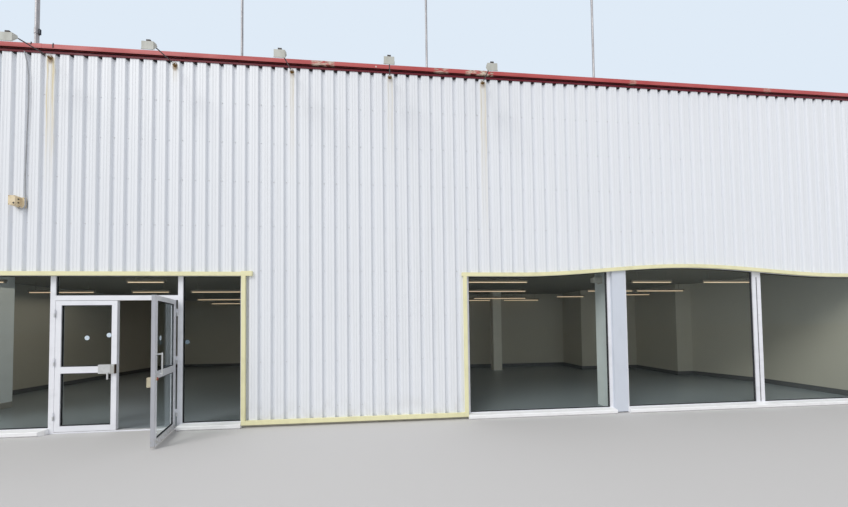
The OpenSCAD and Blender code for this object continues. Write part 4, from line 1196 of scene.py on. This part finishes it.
# Rust runs under the lamps: place, half width, length, strength of the run, strength of the blot
STAINS = [(LAMP_PLACES[0], 0.040, 2.4, 0.95, 0.9), (LAMP_PLACES[1], 0.020, 0.4, 0.35, 0.9),
          (LAMP_PLACES[2], 0.016, 2.2, 0.40, 0.3), (LAMP_PLACES[3], 0.030, 1.9, 0.30, 0.3),
          (LAMP_PLACES[4], 0.035, 3.3, 0.55, 0.5)]
# Scuffs on the coping: place, half width, strength
SCUFFS = [(FRONT_JOINTS[0], 0.16, 0.8), (FRONT_JOINTS[1], 0.10, 0.6), (FRONT_JOINTS[2], 0.22, 1.0),
          (FRONT_JOINTS[3], 0.04, 0.4), (FRONT_JOINTS[4], 0.05, 0.4)]
# Paints and plastics: colour, dirt, roughness, share of dirt, grain of the dirt
PAINTS = {
    "trim_paint": ((0.825, 0.790, 0.490), (0.62, 0.59, 0.37), 0.42, 0.45, 5.0),
    "frame_paint": ((0.83, 0.84, 0.885), (0.60, 0.61, 0.65), 0.32, 0.40, (3.0, 3.0, 6.0)),
    "cover_paint": ((0.620, 0.660, 0.735), (0.50, 0.53, 0.59), 0.38, 0.35, (4.0, 4.0, 1.5)),
    "sill_paint": ((0.90, 0.90, 0.91), (0.62, 0.60, 0.58), 0.36, 0.35, (4.0, 9.0, 14.0)),
    "angle_paint": ((0.78, 0.80, 0.84), (0.64, 0.65, 0.66), 0.42, 0.4, (3.0, 3.0, 0.8)),
    "skirting_paint": ((0.105, 0.107, 0.110), (0.10, 0.10, 0.10), 0.35, 0.5),
    "light_paint": ((0.34, 0.31, 0.26), (0.26, 0.23, 0.18), 0.35, 0.4),
    "screw_paint": ((0.72, 0.735, 0.765), (0.48, 0.46, 0.44), 0.4, 0.5, 9.0),
    "lock_case": ((0.55, 0.50, 0.36), (0.34, 0.27, 0.16), 0.45, 0.6, 22.0),
    "box_plastic": ((0.79, 0.66, 0.45), (0.52, 0.40, 0.22), 0.55, 0.4, 14.0),
    "red_plastic": ((0.46, 0.090, 0.065), (0.16, 0.050, 0.040), 0.45, 0.5, 40.0),
    "sticker_white": ((0.60, 0.70, 0.78), (0.50, 0.58, 0.64), 0.45, 0.4, 20.0),
    "sticker_faded": ((0.13, 0.18, 0.22), (0.10, 0.14, 0.17), 0.45, 0.4, 20.0),
    "casing_white": ((0.66, 0.65, 0.60), (0.50, 0.48, 0.43), 0.45, 0.4, 20.0),
    "lens_glass": ((0.16, 0.17, 0.18), (0.26, 0.25, 0.22), 0.12, 0.5, 25.0),
}
# Brushed metals: colour, grain along each axis, roughness, metallic share
METALS = {
    "satin_steel": ((0.70, 0.70, 0.69), (30.0, 30.0, 400.0)),
    "mill_aluminium": ((0.62, 0.62, 0.62), (400.0, 30.0, 30.0), 0.4, 0.8),
}
# Rough surfaces: colour, darker colour, grain, roughness, depth of the grain
ROUGH_SURFACES = {
    "inner_paint": ((0.60, 0.570, 0.485), (0.55, 0.520, 0.440), 0.8, 0.8, 0.0008),
    "cable_skin": ((0.40, 0.41, 0.43), (0.27, 0.27, 0.28), 8.0, 0.6, 0.0005),
    "rubber_black": ((0.018, 0.019, 0.022), (0.035, 0.035, 0.037), 12.0, 0.6, 0.0004),
    "foam_black": ((0.032, 0.030, 0.034), (0.060, 0.056, 0.060), 30.0, 0.95, 0.0015),
    "dark_plastic": ((0.030, 0.028, 0.028), (0.060, 0.050, 0.045), 20.0, 0.55, 0.0004),
    "rusty_steel": ((0.17, 0.105, 0.060), (0.09, 0.045, 0.020), 30.0, 0.75, 0.0008),
}
LOOKS = {name: painted_metal(name, *values) for name, values in PAINTS.items()}
LOOKS.update({name: brushed_metal(name, *values) for name, values in METALS.items()})
LOOKS.update({name: rough_surface(name, *values) for name, values in ROUGH_SURFACES.items()})
for material in (coated_sheet("coated_sheet_front", "X", LEFT_X + FIRST_GROOVE, FACE_Y, STAINS),
                 coated_sheet("coated_sheet_back", "X", RIGHT_X - FIRST_GROOVE, BACK_Y),
                 coated_sheet("coated_sheet_right", "Y", FACE_Y + FIRST_GROOVE, RIGHT_X),
                 coated_sheet("coated_sheet_left", "Y", BACK_Y - FIRST_GROOVE, LEFT_X),
                 coping_paint(SCUFFS), open_leaf_paint(), lock_metal(), column_plaster(), galvanised_tube(),
                 lamp_coat(), polished_floor(), ceiling_tiles(), roof_membrane(), clear_glass(), lit_tube()):
    LOOKS[material.name] = material

# The frame's nodes by their look
DRESSED_NODES = {
    "coated_sheet_front": ("cladding_front_left", "cladding_over_entrance", "cladding_front_centre",
                           "cladding_over_windows", "cladding_front_right"),
    "coated_sheet_back": ("cladding_back",),
    "coated_sheet_left": ("cladding_left",),
    "coated_sheet_right": ("cladding_right",),
    "angle_paint": ("corner_angles",),
    "coping_paint": ("coping",),
    "trim_paint": ("entrance_trim", "window_trim", "base_trim"),
    "inner_paint": ("front_wall_left", "front_wall_over_entrance", "front_wall_centre",
                    "front_wall_over_windows", "front_wall_right", "left_wall", "right_wall", "back_wall",
                    "inner_walls"),
    "polished_floor": ("floor_slab",),
    "ceiling_tiles": ("ceiling",),
    "roof_membrane": ("roof_deck",),
    "frame_paint": ("entrance_posts", "entrance_rails", "window_posts", "window_rails", "left_door_frame"),
    "open_leaf_paint": ("right_door_frame",),
    "cover_paint": ("window_cover_post",),
    "sill_paint": ("sills",),
    "clear_glass": ("entrance_glass", "window_glass", "left_door_glass", "right_door_glass"),
    "lock_metal": ("left_door_lock",),
    "lock_case": ("right_door_lock",),
    "satin_steel": ("right_door_handle", "hinges"),
    "column_plaster": ("columns",),
    "skirting_paint": ("skirting",),
    "light_paint": ("strip_lights",),
    "lamp_coat": ("lamps",),
    "galvanised_tube": ("masts",),
    "box_plastic": ("junction_box",),
    "cable_skin": ("junction_cable",),
}


def dress_nodes():
    """Gives each node of the frame its look."""
    looks = {name: look for look, names in DRESSED_NODES.items() for name in names}
    for name, node in frame["nodes"].items():
        node.data.materials.clear()
        node.data.materials.append(LOOKS[looks[name]])


def add_cladding_details():
    """Screws, laps and closures of the cladding, and what is fixed to the coping and the trim."""
    for side in SIDES:
        piece(sheet_screws(side), "screws_" + side, "screw_paint")
        piece(sheet_laps(side), "sheet_laps_" + side, "coated_sheet_" + side)
        piece(groove_closures(side), "groove_closures_" + side, "foam_black")
    piece(coping_straps(), "coping_straps", "coping_paint")
    piece(coping_clips(), "coping_clips", "dark_plastic")
    piece(trim_sleeve(), "trim_sleeve", "trim_paint")


def add_pane_details():
    """Seals of the fixed panes, and the joint of the mullion."""
    piece(pane_seals(), "pane_seals", "rubber_black")
    piece(mullion_joint(), "mullion_joint", "rubber_black")


def add_door_details():
    """Seals, beads, stickers and small fittings of the leaves, and the tread under them."""
    glass_back = LEAF_GLASS_Y + LEAF_GLASS_T
    seal_w, seal_t, bead_w, bead_t = 0.013, 0.006, 0.009, 0.009
    for side in ("left", "right"):
        body = side + "_door"
        seals = leaf_rings(side, (LEAF_GLASS_Y, glass_back + seal_t), seal_w, seal_t)
        beads = leaf_rings(side, (glass_back + seal_t + bead_t,), bead_w, bead_t)
        piece(seals, body + "_seals", "rubber_black", body)
        piece(beads, body + "_beads", "frame_paint", body)
    piece(leaf_dots("left", ((87.1, 337.9), (109.1, 335.1))), "left_door_dots", "sticker_white", "left_door")
    piece(leaf_dots("right", ((160.5, 337.9),)), "right_door_dots", "sticker_white", "right_door")
    piece(side_pane_dot(), "side_pane_dot", "sticker_faded")
    piece(lock_screws(), "lock_screws", "satin_steel", "left_door")
    piece(cylinder_cap(), "cylinder_cap", "red_plastic", "right_door")
    piece(cylinder_slot(), "cylinder_slot", "dark_plastic", "right_door")
    piece(threshold(), "threshold", "mill_aluminium")


def add_fittings():
    """Small parts of the lamps, the masts, the junction box and the hall."""
    piece(lamp_lenses(), "lamp_lenses", "lens_glass")
    piece(lamp_fixings(), "lamp_fixings", "rusty_steel")
    piece(mast_bolts(), "mast_bolts", "rusty_steel")
    piece(box_knockouts(), "box_knockouts", "dark_plastic")
    piece(box_screws(), "box_screws", "rusty_steel")
    piece(light_tubes(), "light_tubes", "lit_tube", smooth=True)
    piece(tube_holders(), "tube_holders", "light_paint")
    piece(column_box(), "column_box", "casing_white")


make_camera()
add_floor()
add_soft_light()
add_sun()
add_hall_light("hall_light_left", (-9.3, -3.9), (-5.0, 0.4), 22.0)
add_hall_light("hall_light_right", (-2.5, -3.6), (7.5, 0.0), 6.0)
dress_nodes()
add_cladding_details()
add_pane_details()
add_door_details()
add_fittings()

bpy.context.scene.view_settings.view_transform = "Standard"
